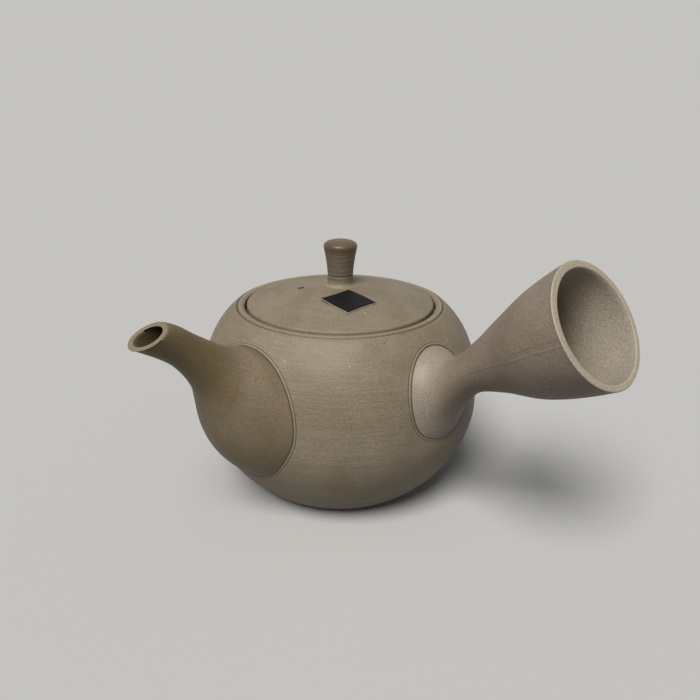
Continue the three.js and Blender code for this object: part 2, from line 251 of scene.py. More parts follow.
@dataclass
class TurnedShell:
    """A profile turned round Z, from the axis underneath, round the outside, back to the axis.

    Attributes:
        profile: Radius and height of each row, first and last on the axis.
        columns: Corners round each row.
    """

    profile: Points
    columns: int

    def surface(self) -> Surface:
        """Turns the profile: x = r cos(a), y = r sin(a), with a fan of triangles at each pole.

        Returns:
            The closed surface.
        """
        rows = self.profile[1:-1]
        angle = 2 * np.pi * np.arange(self.columns) / self.columns
        grid = np.empty((len(rows), self.columns, 3))
        grid[..., 0] = rows[:, :1] * np.cos(angle)
        grid[..., 1] = rows[:, :1] * np.sin(angle)
        grid[..., 2] = rows[:, 1:]
        poles = [[0, 0, self.profile[0, 1]], [0, 0, self.profile[-1, 1]]]
        points = np.vstack([grid.reshape(-1, 3), poles])
        low, high = len(points) - 2, len(points) - 1
        start = np.arange(self.columns)
        beside = (start + 1) % self.columns
        last = (len(rows) - 1) * self.columns
        fans = [
            np.column_stack([np.full(self.columns, low), beside, start]),
            np.column_stack([np.full(self.columns, high), last + start, last + beside]),
        ]
        return Surface(points, ring_quads(len(rows), self.columns), np.vstack(fans))

    def pierced(
        self,
        outer: NDArray[np.int64],
        inner: NDArray[np.int64],
        hole: Hole,
        settle: Callable[[Points, bool], Points],
    ) -> Surface:
        """Returns the surface with a round hole through its wall.

        The cells inside the hole go from both faces of the wall, the corners left round it slide
        to its circle, and a band of quads joins the two edges.

        Args:
            outer: Rows of the outside, rising, as numbers in the profile.
            inner: The rows across the wall from them.
            hole: The hole.
            settle: Puts slid corners back on the outside, or on the inside when its flag is set.

        Returns:
            The closed surface.
        """
        whole = self.surface()
        count = self.columns
        out_rows, in_rows = np.asarray(outer) - 1, np.asarray(inner) - 1
        column = np.arange(count)
        front = out_rows[:, None] * count + column
        back = in_rows[:, None] * count + column
        middle = (whole.points[front[:-1]] + whole.points[front[1:]]) / 2
        middle = (middle + np.roll(middle, -1, axis=1)) / 2
        gone = hole.holds(middle)
        cell = out_rows[:-1, None] * count + column
        cell_back = np.minimum(in_rows[:-1], in_rows[1:])[:, None] * count + column
        keep = np.ones(len(whole.quads), bool)
        keep[cell[gone]] = False
        keep[cell_back[gone]] = False
        around = np.zeros((len(out_rows), count), int)
        for rows in (slice(None, -1), slice(1, None)):
            around[rows] += gone
            around[rows] += np.roll(gone, 1, axis=1)
        edge = (around > 0) & (around < 4)
        points = whole.points.copy()
        points[front[edge]] = settle(hole.on_edge(points[front[edge]]), False)
        points[back[edge]] = settle(hole.on_edge(points[back[edge]]), True)
        bands = []
        below = np.vstack([np.zeros((1, count), bool), gone])
        above = np.vstack([gone, np.zeros((1, count), bool)])
        left = np.roll(gone, 1, axis=1)
        for (i, j), turned in ((np.nonzero(above & ~below), False), (np.nonzero(below & ~above), True)):
            k = (j + 1) % count
            a, b = ((i, k), (i, j)) if turned else ((i, j), (i, k))
            bands.append(np.column_stack([front[a], front[b], back[b], back[a]]))
        for (i, j), turned in ((np.nonzero(gone & ~left), True), (np.nonzero(left & ~gone), False)):
            a, b = ((i + 1, j), (i, j)) if turned else ((i, j), (i + 1, j))
            bands.append(np.column_stack([front[a], front[b], back[b], back[a]]))
        return Surface(points, np.vstack([whole.quads[keep], *bands]), whole.tris)


@dataclass(frozen=True)
class Pot:
    """The thrown pot: two superellipses that meet at its widest line, a collar and a gallery.

    Attributes:
        foot_radius: Radius of the flat foot.
        foot_chamfer: How far the wall rises and spreads round the foot's edge.
        belly_radius: Radius of the widest line.
        belly_height: Height of the widest line.
        belly_fullness: Power of the superellipse below that line.
        shoulder_fullness: Power of the one above it.
        wall: Thickness of the wall.
        floor: Thickness of the floor.
        collar_radius: Radius at which the shoulder ends.
        collar_height: Height at which it ends.
        crest_radius: Radius of the collar's crest.
        crest_rise: How far the crest rises above the shoulder's end.
        groove_width: Width of the groove between the shoulder and the crest.
        groove_depth: Depth of that groove.
        mouth_radius: Radius of the mouth.
        gallery_depth: From the shoulder's end down to the ledge that carries the lid.
        gallery_thickness: Thickness of that ledge.
        throat_radius: Radius of the opening inside the ledge.
        pour_radius: Radius of the pour hole behind the spout.
        pour_rise: Height of the hole's centre above the widest line.
        columns: Corners round the pot.
        wall_rows: Rows of corners up its wall.
        throwing_ripple: How far the throwing rings stand out.
    """

    foot_radius: float = 32
    foot_chamfer: float = 0.8
    belly_radius: float = 55
    belly_height: float = 37.3
    belly_fullness: float = 1.86
    shoulder_fullness: float = 2.59
    wall: float = 3
    floor: float = 3.6
    collar_radius: float = 40.7
    collar_height: float = 75.1
    crest_radius: float = 39.3
    crest_rise: float = 0.25
    groove_width: float = 0.9
    groove_depth: float = 0.6
    mouth_radius: float = 37.4
    gallery_depth: float = 3.4
    gallery_thickness: float = 2.8
    throat_radius: float = 33.6
    pour_radius: float = 15
    pour_rise: float = 6
    columns: int = 256
    wall_rows: int = 132
    throwing_ripple: float = 0.035

    @property
    def ledge(self) -> float:
        """Height of the gallery's ledge, which carries the lid."""
        return self.collar_height - self.gallery_depth

    @property
    def pour_height(self) -> float:
        """Height of the pour hole's centre."""
        return self.belly_height + self.pour_rise

    def _quarter(self, rise: float, radius: float, fullness: float) -> float:
        """Returns the height of the quarter curve that passes through its end point."""
        return rise / (1 - (radius / self.belly_radius) ** fullness) ** (1 / fullness)

    def radius(self, height: Points) -> Points:
        """Works out the outer wall: r = R (1 - |z - z0| / h to the power n) to the power 1 / n.

        Args:
            height: Heights between the foot and the collar.

        Returns:
            The wall's radius at each height.
        """
        foot = self.foot_radius + self.foot_chamfer
        low = self._quarter(self.belly_height - self.foot_chamfer, foot, self.belly_fullness)
        rise = self.collar_height - self.belly_height
        high = self._quarter(rise, self.collar_radius, self.shoulder_fullness)
        away = np.asarray(height, float) - self.belly_height
        fullness = np.where(away > 0, self.shoulder_fullness, self.belly_fullness)
        share = np.clip(np.abs(away) / np.where(away > 0, high, low), 0, 0.999)
        return self.belly_radius * (1 - share**fullness) ** (1 / fullness)

    def _slope(self, height: Points) -> Points:
        """Returns how fast the wall's radius grows with height, measured over a short step."""
        step = 0.05
        return (self.radius(height + step) - self.radius(height - step)) / (2 * step)

    def normal(self, points: Points) -> Points:
        """Works out the outer wall's normal from the slope of its radius.

        Args:
            points: Points on the wall, one row each.

        Returns:
            The outward unit normals.
        """
        out = points[:, :2] / np.linalg.norm(points[:, :2], axis=1, keepdims=True)
        made = np.column_stack([out, -self._slope(points[:, 2])])
        return made / np.linalg.norm(made, axis=1, keepdims=True)

    def on_wall(self, points: Points, offset: float = 0) -> Points:
        """Moves points straight out from the axis until they lie on the outer wall.

        Args:
            points: Points near the wall, one row each.
            offset: How far outside the wall they end.

        Returns:
            The moved points.
        """
        reach = np.linalg.norm(points[:, :2], axis=1)
        moved = points.copy()
        moved[:, :2] *= ((self.radius(points[:, 2]) + offset) / reach)[:, None]
        return moved

    def _wall_rows(self, heights: Points, offset: float) -> Points:
        """Makes rows of the wall's profile, moved square to it.

        Args:
            heights: Heights of the rows.
            offset: How far they are moved, outwards if positive.

        Returns:
            Radius and height of each row.
        """
        slope = self._slope(heights)
        length = np.hypot(1, slope)
        return np.column_stack([self.radius(heights) + offset / length, heights - offset * slope / length])

    def surface(self) -> Surface:
        """Turns the profile and cuts the pour hole through the wall behind the spout.

        The rows go from the axis underneath round the foot's edge, up the wall, through the groove,
        over the crest, down the mouth, along the ledge, down the throat and the cavity, and along
        the floor back to the axis.

        Returns:
            The pot's closed surface, with the distance from the groove painted.
        """
        top = self.collar_height - 0.4 * self.groove_width
        heights = np.linspace(self.foot_chamfer, top, self.wall_rows)
        under = self.ledge - self.gallery_thickness
        cavity_foot, cavity_top = self.floor + 3, under - 0.5
        inside = (heights > cavity_foot) & (heights < cavity_top)
        outer = self._wall_rows(heights, 0)
        outer[:, 0] += self.throwing_ripple * ripple(heights, (2.1, 3.7, 5.3, 9.1), 3)
        cavity = self._wall_rows(heights[inside], -self.wall)
        cavity[:, 0] += 3 * self.throwing_ripple * ripple(cavity[:, 1], (4.1, 6.3, 8.7), 5)
        foot, crest = self.collar_height, self.collar_height + self.crest_rise
        middle = self.collar_radius - self.groove_width / 2
        collar = [
            [self.collar_radius + 0.12, foot - 0.22],
            [middle + 0.25, foot - 0.3],
            [middle + 0.1, foot - self.groove_depth],
            [middle - 0.08, foot - self.groove_depth],
            [middle - 0.22, foot - 0.2],
            [middle - 0.42, crest - 0.1],
            [self.crest_radius + 0.2, crest - 0.01],
            [self.crest_radius, crest],
            [self.crest_radius - 0.3, crest - 0.02],
            [self.mouth_radius + 0.9, crest - 0.12],
            [self.mouth_radius + 0.4, crest - 0.2],
            [self.mouth_radius + 0.12, crest - 0.36],
            [self.mouth_radius, crest - 0.65],
        ]
        floor_radius = cavity[0, 0]
        bend = (6, 3.4)
        floor = arc((floor_radius - bend[0], self.floor + bend[1]), *bend, 0, -90, 9)[1:]
        disc = np.linspace(floor[-1, 0], 0, 12)[1:]
        base = np.linspace(0, self.foot_radius - 0.6, 10)
        shelf = np.linspace(self.mouth_radius - 0.6, self.throat_radius + 0.3, 5)
        chunks = [
            np.column_stack([base, np.zeros_like(base)]),
            arc((self.foot_radius - 0.6, 0.6), 0.6, 0.6, -80, -30, 4),
            outer,
            np.array(collar),
            np.column_stack([np.full(5, self.mouth_radius), np.linspace(crest - 1, self.ledge + 0.3, 5)]),
            arc((self.mouth_radius - 0.3, self.ledge + 0.3), 0.3, 0.3, -20, -90, 3),
            np.column_stack([shelf, np.full(5, self.ledge)]),
            arc((self.throat_radius + 0.5, self.ledge - 0.5), 0.5, 0.5, 100, 180, 4),
            np.column_stack([np.full(4, self.throat_radius), np.linspace(self.ledge - 1, under + 0.8, 4)]),
            arc((self.throat_radius + 0.8, under + 0.8), 0.8, 0.8, 190, 265, 4),
            cavity[::-1],
            floor,
            np.column_stack([disc, np.full_like(disc, self.floor)]),
        ]
        profile = np.vstack(chunks)
        starts = np.cumsum([0] + [len(chunk) for chunk in chunks])
        wall_chunk, cavity_chunk = 2, 10
        out_rows = starts[wall_chunk] + np.nonzero(inside)[0]
        in_rows = starts[cavity_chunk] + np.arange(len(cavity))[::-1]
        hole = Hole((0, 0, self.pour_height), self.pour_radius, (1, 2), (-1, 0, 0))
        inner_order = np.argsort(cavity[:, 1])

        def settle(points: Points, within: bool) -> Points:
            """Keeps the slid corners on the wall.

            Args:
                points: The slid corners.
                within: Whether they are on its inner face.

            Returns:
                The corners, moved level until they lie on that face.
            """
            inner = np.interp(points[:, 2], cavity[inner_order, 1], cavity[inner_order, 0])
            reach = inner if within else self.radius(points[:, 2])
            moved = points.copy()
            moved[:, 0] = -np.sqrt(np.maximum(reach**2 - points[:, 1] ** 2, 0))
            return moved

        shape = TurnedShell(profile, self.columns).pierced(out_rows, in_rows, hole, settle)
        away = np.hypot(shape.points[:, 0], shape.points[:, 1]) - middle
        shape.marks[Mark.GROOVE] = np.where(shape.points[:, 2] > foot - 2 * self.groove_width, away, FAR)
        return shape


@dataclass(frozen=True)
class Station:
    """One section of a tube: a leaning ellipse.

    Attributes:
        out: How far its centre lies out past the pot's widest line.
        up: How far it lies above that line.
        tall: Half its height.
        wide: Half its width.
        lean: How far it leans back, in degrees.
    """

    out: float
    up: float
    tall: float
    wide: float
    lean: float


@dataclass
class Tube:
    """A hollow clay tube luted to the pot, lofted through leaning ellipses.

    Attributes:
        pot: The pot that it stands on.
        angle: Direction from the pot's axis, in degrees.
        wall: Thickness of its wall.
        stations: Its sections, from the foot to the mouth.
        lip_rounding: Radius of the rounding on both edges of its lip.
        uneven: How much thicker its wall is on its thick side than on average.
        thick_side: Where round the section that side is, in degrees.
        ridge_shares: Shares of the way along for the angles of the faint ridge on its side.
        ridge_angles: Where round the section the ridge lies there, in degrees.
        columns: Corners round it.
        rows: Rows of corners along its outside and along its inside.
    """

    pot: Pot
    angle: float
    wall: float
    stations: Sequence[Station]
    lip_rounding: float = 0.45
    uneven: float = 0
    thick_side: float = 135
    ridge_shares: tuple[float, ...] = (0.5, 0.63, 0.76, 0.9, 0.98)
    ridge_angles: tuple[float, ...] = (186, 186, 184, 182, 183)
    columns: int = 192
    rows: tuple[int, int] = (150, 90)

    def _section(self, share: Points) -> Points:
        """Works out sections between the stations as a cubic.

        The slope at a station comes from both of its neighbours, and at an end from a parabola
        through the last three.

        Args:
            share: Shares of the way from the foot to the mouth.

        Returns:
            Out, up, tall, wide and lean for each share, in the last axis.
        """
        table = np.array([[s.out, s.up, s.tall, s.wide, s.lean] for s in self.stations])
        slope = np.gradient(table, axis=0)
        slope[0] = (-3 * table[0] + 4 * table[1] - table[2]) / 2
        slope[-1] = (3 * table[-1] - 4 * table[-2] + table[-3]) / 2
        place = np.clip(np.asarray(share) * (len(table) - 1), 0, len(table) - 1 - 1e-9)
        i = place.astype(int)
        w = (place - i)[..., None]
        rest = 1 - w
        ends = table[i] * (1 + 2 * w) * rest**2 + table[i + 1] * w**2 * (3 - 2 * w)
        return ends + slope[i] * w * rest**2 - slope[i + 1] * w**2 * rest

    def at(
        self, share: Points, around: Points, inset: float | Points = 0, forward: float | Points = 0
    ) -> Points:
        """Works out points of the tube: centre + tall sin(a) up its lean + wide cos(a) sideways.

        Args:
            share: Share of the way from the foot to the mouth.
            around: Angle round the section, in radians.
            inset: How far inside the outer surface.
            forward: How far out along the section's own axis.

        Returns:
            The points, in the last axis.
        """
        out, up, tall, wide, lean = np.moveaxis(self._section(share), -1, 0)
        lean = np.radians(lean)
        rise = (tall - inset) * np.sin(around)
        reach = self.pot.belly_radius + out - rise * np.sin(lean) + forward * np.cos(lean)
        height = self.pot.belly_height + up + rise * np.cos(lean) + forward * np.sin(lean)
        side = (wide - inset) * np.cos(around)
        turn = np.radians(self.angle)
        return np.stack(
            [reach * np.cos(turn) - side * np.sin(turn), reach * np.sin(turn) + side * np.cos(turn), height],
            axis=-1,
        )

    def foot_share(self, around: Points, inset: float | Points) -> Points:
        """Finds where the tube leaves the pot's wall, for each angle round it.

        Args:
            around: Angles round the section, in radians.
            inset: How far inside the outer surface.

        Returns:
            The share of the way along at which each angle's line comes out of the wall.
        """
        share = np.linspace(0, 0.6, 601)
        points = self.at(share[:, None], around[None], inset)
        outside = np.hypot(points[..., 0], points[..., 1]) - self.pot.radius(points[..., 2])
        within = outside < 0
        last = np.where(within.any(axis=0), len(share) - 1 - within[::-1].argmax(axis=0), 0)
        last = np.minimum(last, len(share) - 2)
        column = np.arange(len(around))
        low, high = outside[last, column], outside[last + 1, column]
        part = np.clip(-low / np.where(high == low, 1, high - low), 0, 1)
        return share[last] + part * (share[1] - share[0])

    def foot_line(self) -> Points:
        """Returns the closed curve where the tube's outside meets the pot's wall."""
        around = self._around()
        return self.pot.on_wall(self.at(self.foot_share(around, 0), around))

    def _around(self) -> Points:
        """Returns the angles of the columns, starting underneath, where the join shows least."""
        return -np.pi / 2 + 2 * np.pi * np.arange(self.columns) / self.columns

    def surface(self) -> Surface:
        """Joins the outside, the rounded lip, the inside and the strip on the pot into one ring.

        Returns:
            The closed surface, with its marks painted.
        """
        around = self._around()
        near_end = 0.999
        end = self._section(np.array([near_end, 1.0]))[:, :2]
        setback = self.lip_rounding * (1 - near_end) / np.linalg.norm(end[1] - end[0])
        outside, inside = self.rows
        wall = self.wall + self.uneven * np.cos(around - np.radians(self.thick_side))
        share_out = self._spread(self.foot_share(around, 0), 1 - setback, outside)
        share_in = self._spread(self.foot_share(around, wall), 1 - setback, inside)[::-1]
        quarter = np.radians(np.linspace(12, 90, 7))[:, None]
        curl = self.lip_rounding * (1 - np.cos(quarter))
        sink = -self.lip_rounding * (1 - np.sin(quarter))
        part = np.linspace(0, 1, 6)[1:-1, None]
        flat = self.lip_rounding + part * (wall - 2 * self.lip_rounding)
        one = np.ones((1, 1))
        bands = [
            self.at(share_out, around[None]),
            self.at(one, around[None], curl, sink),
            self.at(one, around[None], flat),
            self.at(one, around[None], wall - curl[::-1], sink[::-1]),
            self.at(share_in, around[None], wall),
        ]
        grid = np.vstack(bands)
        lip, within = np.zeros(grid.shape[:2]), np.zeros(grid.shape[:2])
        last = outside + len(curl) * 2 + len(flat)
        lip[outside + 1 : last - 1] = 1
        within[last:] = 1
        foot, parting = np.full(grid.shape[:2], FAR), np.full(grid.shape[:2], FAR)
        steps = np.linalg.norm(np.diff(bands[0], axis=0), axis=-1)
        foot[:outside] = np.vstack([np.zeros((1, self.columns)), np.cumsum(steps, axis=0)])
        turned = around - np.radians(np.interp(share_out, self.ridge_shares, self.ridge_angles))
        tall = self._section(share_out)[..., 2]
        parting[:outside] = np.where(np.cos(turned) > 0, tall * np.sin(turned), FAR)
        along = np.ones(grid.shape[:2])
        along[:outside] = share_out
        along[-inside:] = share_in
        painted = {
            Mark.LIP: lip, Mark.INSIDE: within, Mark.FOOT: foot, Mark.PARTING: parting, Mark.ALONG: along,
        }
        marks = {mark: values.ravel() for mark, values in painted.items()}
        quads = ring_quads(len(grid), self.columns, closed_rows=True)
        return Surface(grid.reshape(-1, 3), quads, marks=marks)

    @staticmethod
    def _spread(start: Points, end: float, rows: int) -> Points:
        """Spreads the rows of each column, closest together at the column's start.

        Args:
            start: Share of the way along at which each column starts.
            end: Share of the way along at which every column ends.
            rows: Number of rows.

        Returns:
            Shares of the way along, as rows by columns.
        """
        crowding = 1.3
        step = np.linspace(0, 1, rows)[:, None] ** crowding
        return start[None] * (1 - step) + end * step


@dataclass
class SlipBead:
    """The fine bead of slip tooled round the foot of a luted tube, fading towards its underside.

    Attributes:
        tube: The tube that it goes round.
        offset: From the tube's foot line to the middle of the bead.
        width: Width of the bead.
        height: How proud it stands of the pot.
        sink: How deep its underside lies in the wall.
        faintest: Its strength underneath, where it is fully strong at the top.
        fades: Share of its height up to which it is faintest, and share over which it then grows.
        sides: Corners round its section.
    """

    tube: Tube
    offset: float = 0.62
    width: float = 0.84
    height: float = 0.3
    sink: float = 0.3
    faintest: float = 0.12
    fades: tuple[float, float] = (0.12, 0.6)
    sides: int = 16

    def _frame(self) -> tuple[Points, Points, Points]:
        """Sets up directions along the tube's foot.

        Returns:
            The foot line, the pot's normal on it and the direction away from the tube.
        """
        line = self.tube.foot_line()
        normal = self.tube.pot.normal(line)
        along = np.roll(line, -1, axis=0) - np.roll(line, 1, axis=0)
        away = np.cross(normal, along)
        away /= np.linalg.norm(away, axis=1, keepdims=True)
        outward = np.einsum("ij,ij->i", away, line - line.mean(axis=0)).mean()
        return line, normal, away * np.sign(outward)

    def middle(self) -> tuple[Points, Points]:
        """Returns the bead's middle line on the pot, and the direction away from the tube."""
        line, _, away = self._frame()
        return self.tube.pot.on_wall(line + away * self.offset), away

    def surface(self) -> Surface:
        """Carries a flattened ellipse round the middle line, thinner lower down.

        Returns:
            The closed surface.
        """
        middle, away = self.middle()
        normal = self.tube.pot.normal(middle)
        turn = 2 * np.pi * np.arange(self.sides) / self.sides
        place = 2 * np.pi * np.arange(len(middle)) / len(middle)
        level = (middle[:, 2] - middle[:, 2].min()) / np.ptp(middle[:, 2])
        part = np.clip((level - self.fades[0]) / self.fades[1], 0, 1)
        strong = self.faintest + (1 - self.faintest) * part**2 * (3 - 2 * part)
        uneven = strong * (1 + 0.1 * np.sin(3 * place + 0.6) + 0.07 * np.sin(7 * place + 2.1))
        across = np.cos(turn)[:, None] * self.width / 2 * np.sqrt(strong)
        high = np.where(np.sin(turn) > 0, self.height, self.sink)[:, None] * np.sin(turn)[:, None] * uneven
        grid = middle[None] + away[None] * across[..., None] + normal[None] * high[..., None]
        return Surface(grid.reshape(-1, 3), ring_quads(len(turn), len(middle), closed_rows=True))


@dataclass(frozen=True)
class Lid:
    """The domed lid with its flange and vent: z = edge + crown (1 - (r / R) to its fullness).

    Attributes:
        pot: The pot that it closes.
        clearance: Gap between its edge and the mouth.
        edge_rise: Height of its dome's edge above the end of the pot's shoulder.
        edge_rounding: Height of the rounding of its edge.
        edge_reach: Width of that rounding.
        edge_turn: How far the rounding turns before it meets the dome, in degrees.
        crown: Rise of the dome from its edge to its middle.
        fullness: Power of the dome's curve.
        line_inset: From its edge to the faint line round it.
        line_depth: Depth of that line.
        thickness: Thickness of the dome.
        flange_clearance: Gap between its flange and the throat.
        flange_wall: Thickness of the flange.
        flange_depth: How far the flange hangs below the ledge.
        vent_radius: Radius of the vent.
        vent_offset: Distance of the vent from the axis.
        vent_angle: Direction of the vent from the axis, in degrees.
        seat_radius: Radius of the flat seat that carries the knob.
        columns: Corners round the lid.
        dome_rows: Rows of corners on the dome inside the flange and outside it.
    """

    pot: Pot
    clearance: float = 0.95
    edge_rise: float = 0.7
    edge_rounding: float = 0.9
    edge_reach: float = 1.5
    edge_turn: float = 62
    crown: float = 6.7
    fullness: float = 1.8
    line_inset: float = 2.0
    line_depth: float = 0.07
    thickness: float = 3.2
    flange_clearance: float = 0.7
    flange_wall: float = 2.6
    flange_depth: float = 5.5
    vent_radius: float = 1.1
    vent_offset: float = 15.3
    vent_angle: float = 136
    seat_radius: float = 6.6
    columns: int = 288
    dome_rows: tuple[int, int] = (64, 40)

    @property
    def radius(self) -> float:
        """Radius of the lid's edge."""
        return self.pot.mouth_radius - self.clearance

    @property
    def seat_height(self) -> float:
        """Height of the flat seat that carries the knob."""
        return float(self.top(self.seat_radius))

    def top(self, radius: Points) -> Points:
        """Returns the height of the lid's upper face at a distance from the axis."""
        share = np.asarray(radius) / self.radius
        return self.pot.collar_height + self.edge_rise + self.crown * (1 - share**self.fullness)

    def surface(self) -> Surface:
        """Turns the lid's profile and cuts the vent through its dome.

        Returns:
            The closed surface, with the distance from the vent's edge painted.
        """
        flange_outer = self.pot.throat_radius - self.flange_clearance
        flange_inner = flange_outer - self.flange_wall
        bottom = self.pot.ledge - self.flange_depth
        turn = np.radians(self.edge_turn)
        edge = self.radius - self.edge_reach
        shared = np.linspace(self.seat_radius, flange_inner - 1.4, self.dome_rows[0])
        middle = np.linspace(0, self.seat_radius, 6)
        dome_edge = edge + self.edge_reach * np.cos(turn)
        outside = np.linspace(shared[-1], dome_edge, self.dome_rows[1])[1:]
        line = self.line_depth * np.exp(-(((outside - self.radius + self.line_inset) / 0.25) ** 2))
        turning = 0.02 * ripple(shared, (1.3, 2.2, 3.1), 11)
        rim = (edge, float(self.top(outside[-1])) - self.edge_rounding * np.sin(turn))
        under = float(self.top(flange_inner)) - self.thickness
        ledge = self.pot.ledge
        chunks = [
            np.column_stack([middle[:-1], self.top(middle[:-1]) - self.thickness]),
            np.column_stack([shared, self.top(shared) - self.thickness]),
            np.column_stack([np.full(6, flange_inner), np.linspace(under - 1, bottom + 0.8, 6)]),
            arc((flange_inner + 0.8, bottom + 0.8), 0.8, 0.8, 190, 260, 4),
            arc((flange_outer - 0.8, bottom + 0.8), 0.8, 0.8, -80, -10, 4),
            np.column_stack([np.full(4, flange_outer), np.linspace(bottom + 1, ledge - 0.3, 4)]),
            np.column_stack([np.linspace(flange_outer + 0.3, self.radius - 0.3, 4), np.full(4, ledge)]),
            np.column_stack([np.full(5, self.radius), np.linspace(ledge + 0.3, rim[1], 5)]),
            arc(rim, self.edge_reach, self.edge_rounding, 6, self.edge_turn, 12)[:-1],
            np.column_stack([outside, self.top(outside) - line])[::-1],
            np.column_stack([shared[::-1], (self.top(shared) + turning)[::-1]]),
            np.column_stack([middle[:-1][::-1], np.full(5, self.seat_height)]),
        ]
        profile = np.vstack(chunks)
        starts = np.cumsum([0] + [len(chunk) for chunk in chunks])
        top_chunk, under_chunk = 10, 1
        out_rows = starts[top_chunk] + np.arange(len(shared))
        in_rows = starts[under_chunk] + np.arange(len(shared))[::-1]
        turn = np.radians(self.vent_angle)
        side = (np.cos(turn), np.sin(turn), 0.0)
        centre = (self.vent_offset * side[0], self.vent_offset * side[1], 0)
        hole = Hole(centre, self.vent_radius, (0, 1), side)

        def settle(points: Points, within: bool) -> Points:
            """Keeps the slid corners on the dome.

            Args:
                points: The slid corners.
                within: Whether they are on its underside.

            Returns:
                The corners, raised or lowered until they lie on that face.
            """
            moved = points.copy()
            moved[:, 2] = self.top(np.hypot(points[:, 0], points[:, 1])) - (self.thickness if within else 0)
            return moved

        shape = TurnedShell(profile, self.columns).pierced(out_rows, in_rows, hole, settle)
        away = shape.points - np.array(hole.centre)
        shape.marks[Mark.VENT] = np.hypot(away[:, 0], away[:, 1]) - self.vent_radius
        return shape


@dataclass(frozen=True)
class Knob:
    """The turned knob: a foot fillet, a fine groove and a neck that flares out to its rim.

    Attributes:
        lid: The lid that it stands on.
        height: Its whole height.
        foot_radius: Radius of its foot.
        foot_fillet: Height of the fillet at its foot.
        neck_radius: Radius of its neck where that is narrowest.
        rim_radius: Radius of its rim.
        rim_depth: Height of the rounded cap above the neck.
        groove_height: Height of the groove in the neck.
        groove_depth: Depth of that groove.
        flare_power: Power with which the neck widens.
        ring_depth: How far the turning rings stand out.
        columns: Corners round the knob.
    """

    lid: Lid
    height: float = 17.6
    foot_radius: float = 6.3
    foot_fillet: float = 1.4
    neck_radius: float = 4.95
    rim_radius: float = 6.5
    rim_depth: float = 2.4
    groove_height: float = 4.1
    groove_depth: float = 0.2
    flare_power: float = 1.6
    ring_depth: float = 0.035
    columns: int = 128

    def surface(self) -> Surface:
        """Turns the knob's profile, whose neck widens as a power of its height.

        Returns:
            The closed surface, with its height above the lid painted.
        """
        rim = self.height - self.rim_depth
        share = np.linspace(0, 1, 60)[4:]
        heights = self.groove_height + (rim - self.groove_height) * share
        flare = self.neck_radius + (self.rim_radius - self.neck_radius) * share**self.flare_power
        fade = np.clip((1 - share) * 4, 0, 1)
        flare += self.ring_depth * fade * ripple(heights, (0.8, 1.15, 1.9), 21)
        groove = np.linspace(-1, 1, 9)
        notch = self.neck_radius - self.groove_depth * (1 - np.abs(groove) ** 1.5)
        neck = np.linspace(self.foot_fillet + 0.2, self.groove_height - 0.5, 12)
        fillet = self.foot_radius - self.neck_radius
        rows = [
            [[0, 0], [self.foot_radius * 0.5, 0], [self.foot_radius, 0]],
            arc((self.foot_radius, self.foot_fillet), fillet, self.foot_fillet, 265, 180, 12),
            np.column_stack([self.neck_radius + 0.3 * self.ring_depth * ripple(neck, (0.9, 1.7), 4), neck]),
            np.column_stack([notch, self.groove_height + 0.45 * groove]),
            np.column_stack([flare, heights]),
            self._crown(rim),
        ]
        profile = np.vstack(rows)
        profile[:, 1] += self.lid.seat_height
        shape = TurnedShell(profile, self.columns).surface()
        shape.marks[Mark.RISE] = shape.points[:, 2] - self.lid.seat_height
        return shape

    def _crown(self, rim: float) -> Points:
        """Makes the rounded rim and the slightly domed top, as a superellipse's quarter.

        Args:
            rim: Height at which the neck ends.

        Returns:
            Radius and height of each row.
        """
        angle = np.radians(np.linspace(6, 90, 22))
        across = self.rim_radius * np.cos(angle) ** 0.62
        across[-1] = 0
        return np.column_stack([across, rim + self.rim_depth * np.sin(angle) ** 0.9])


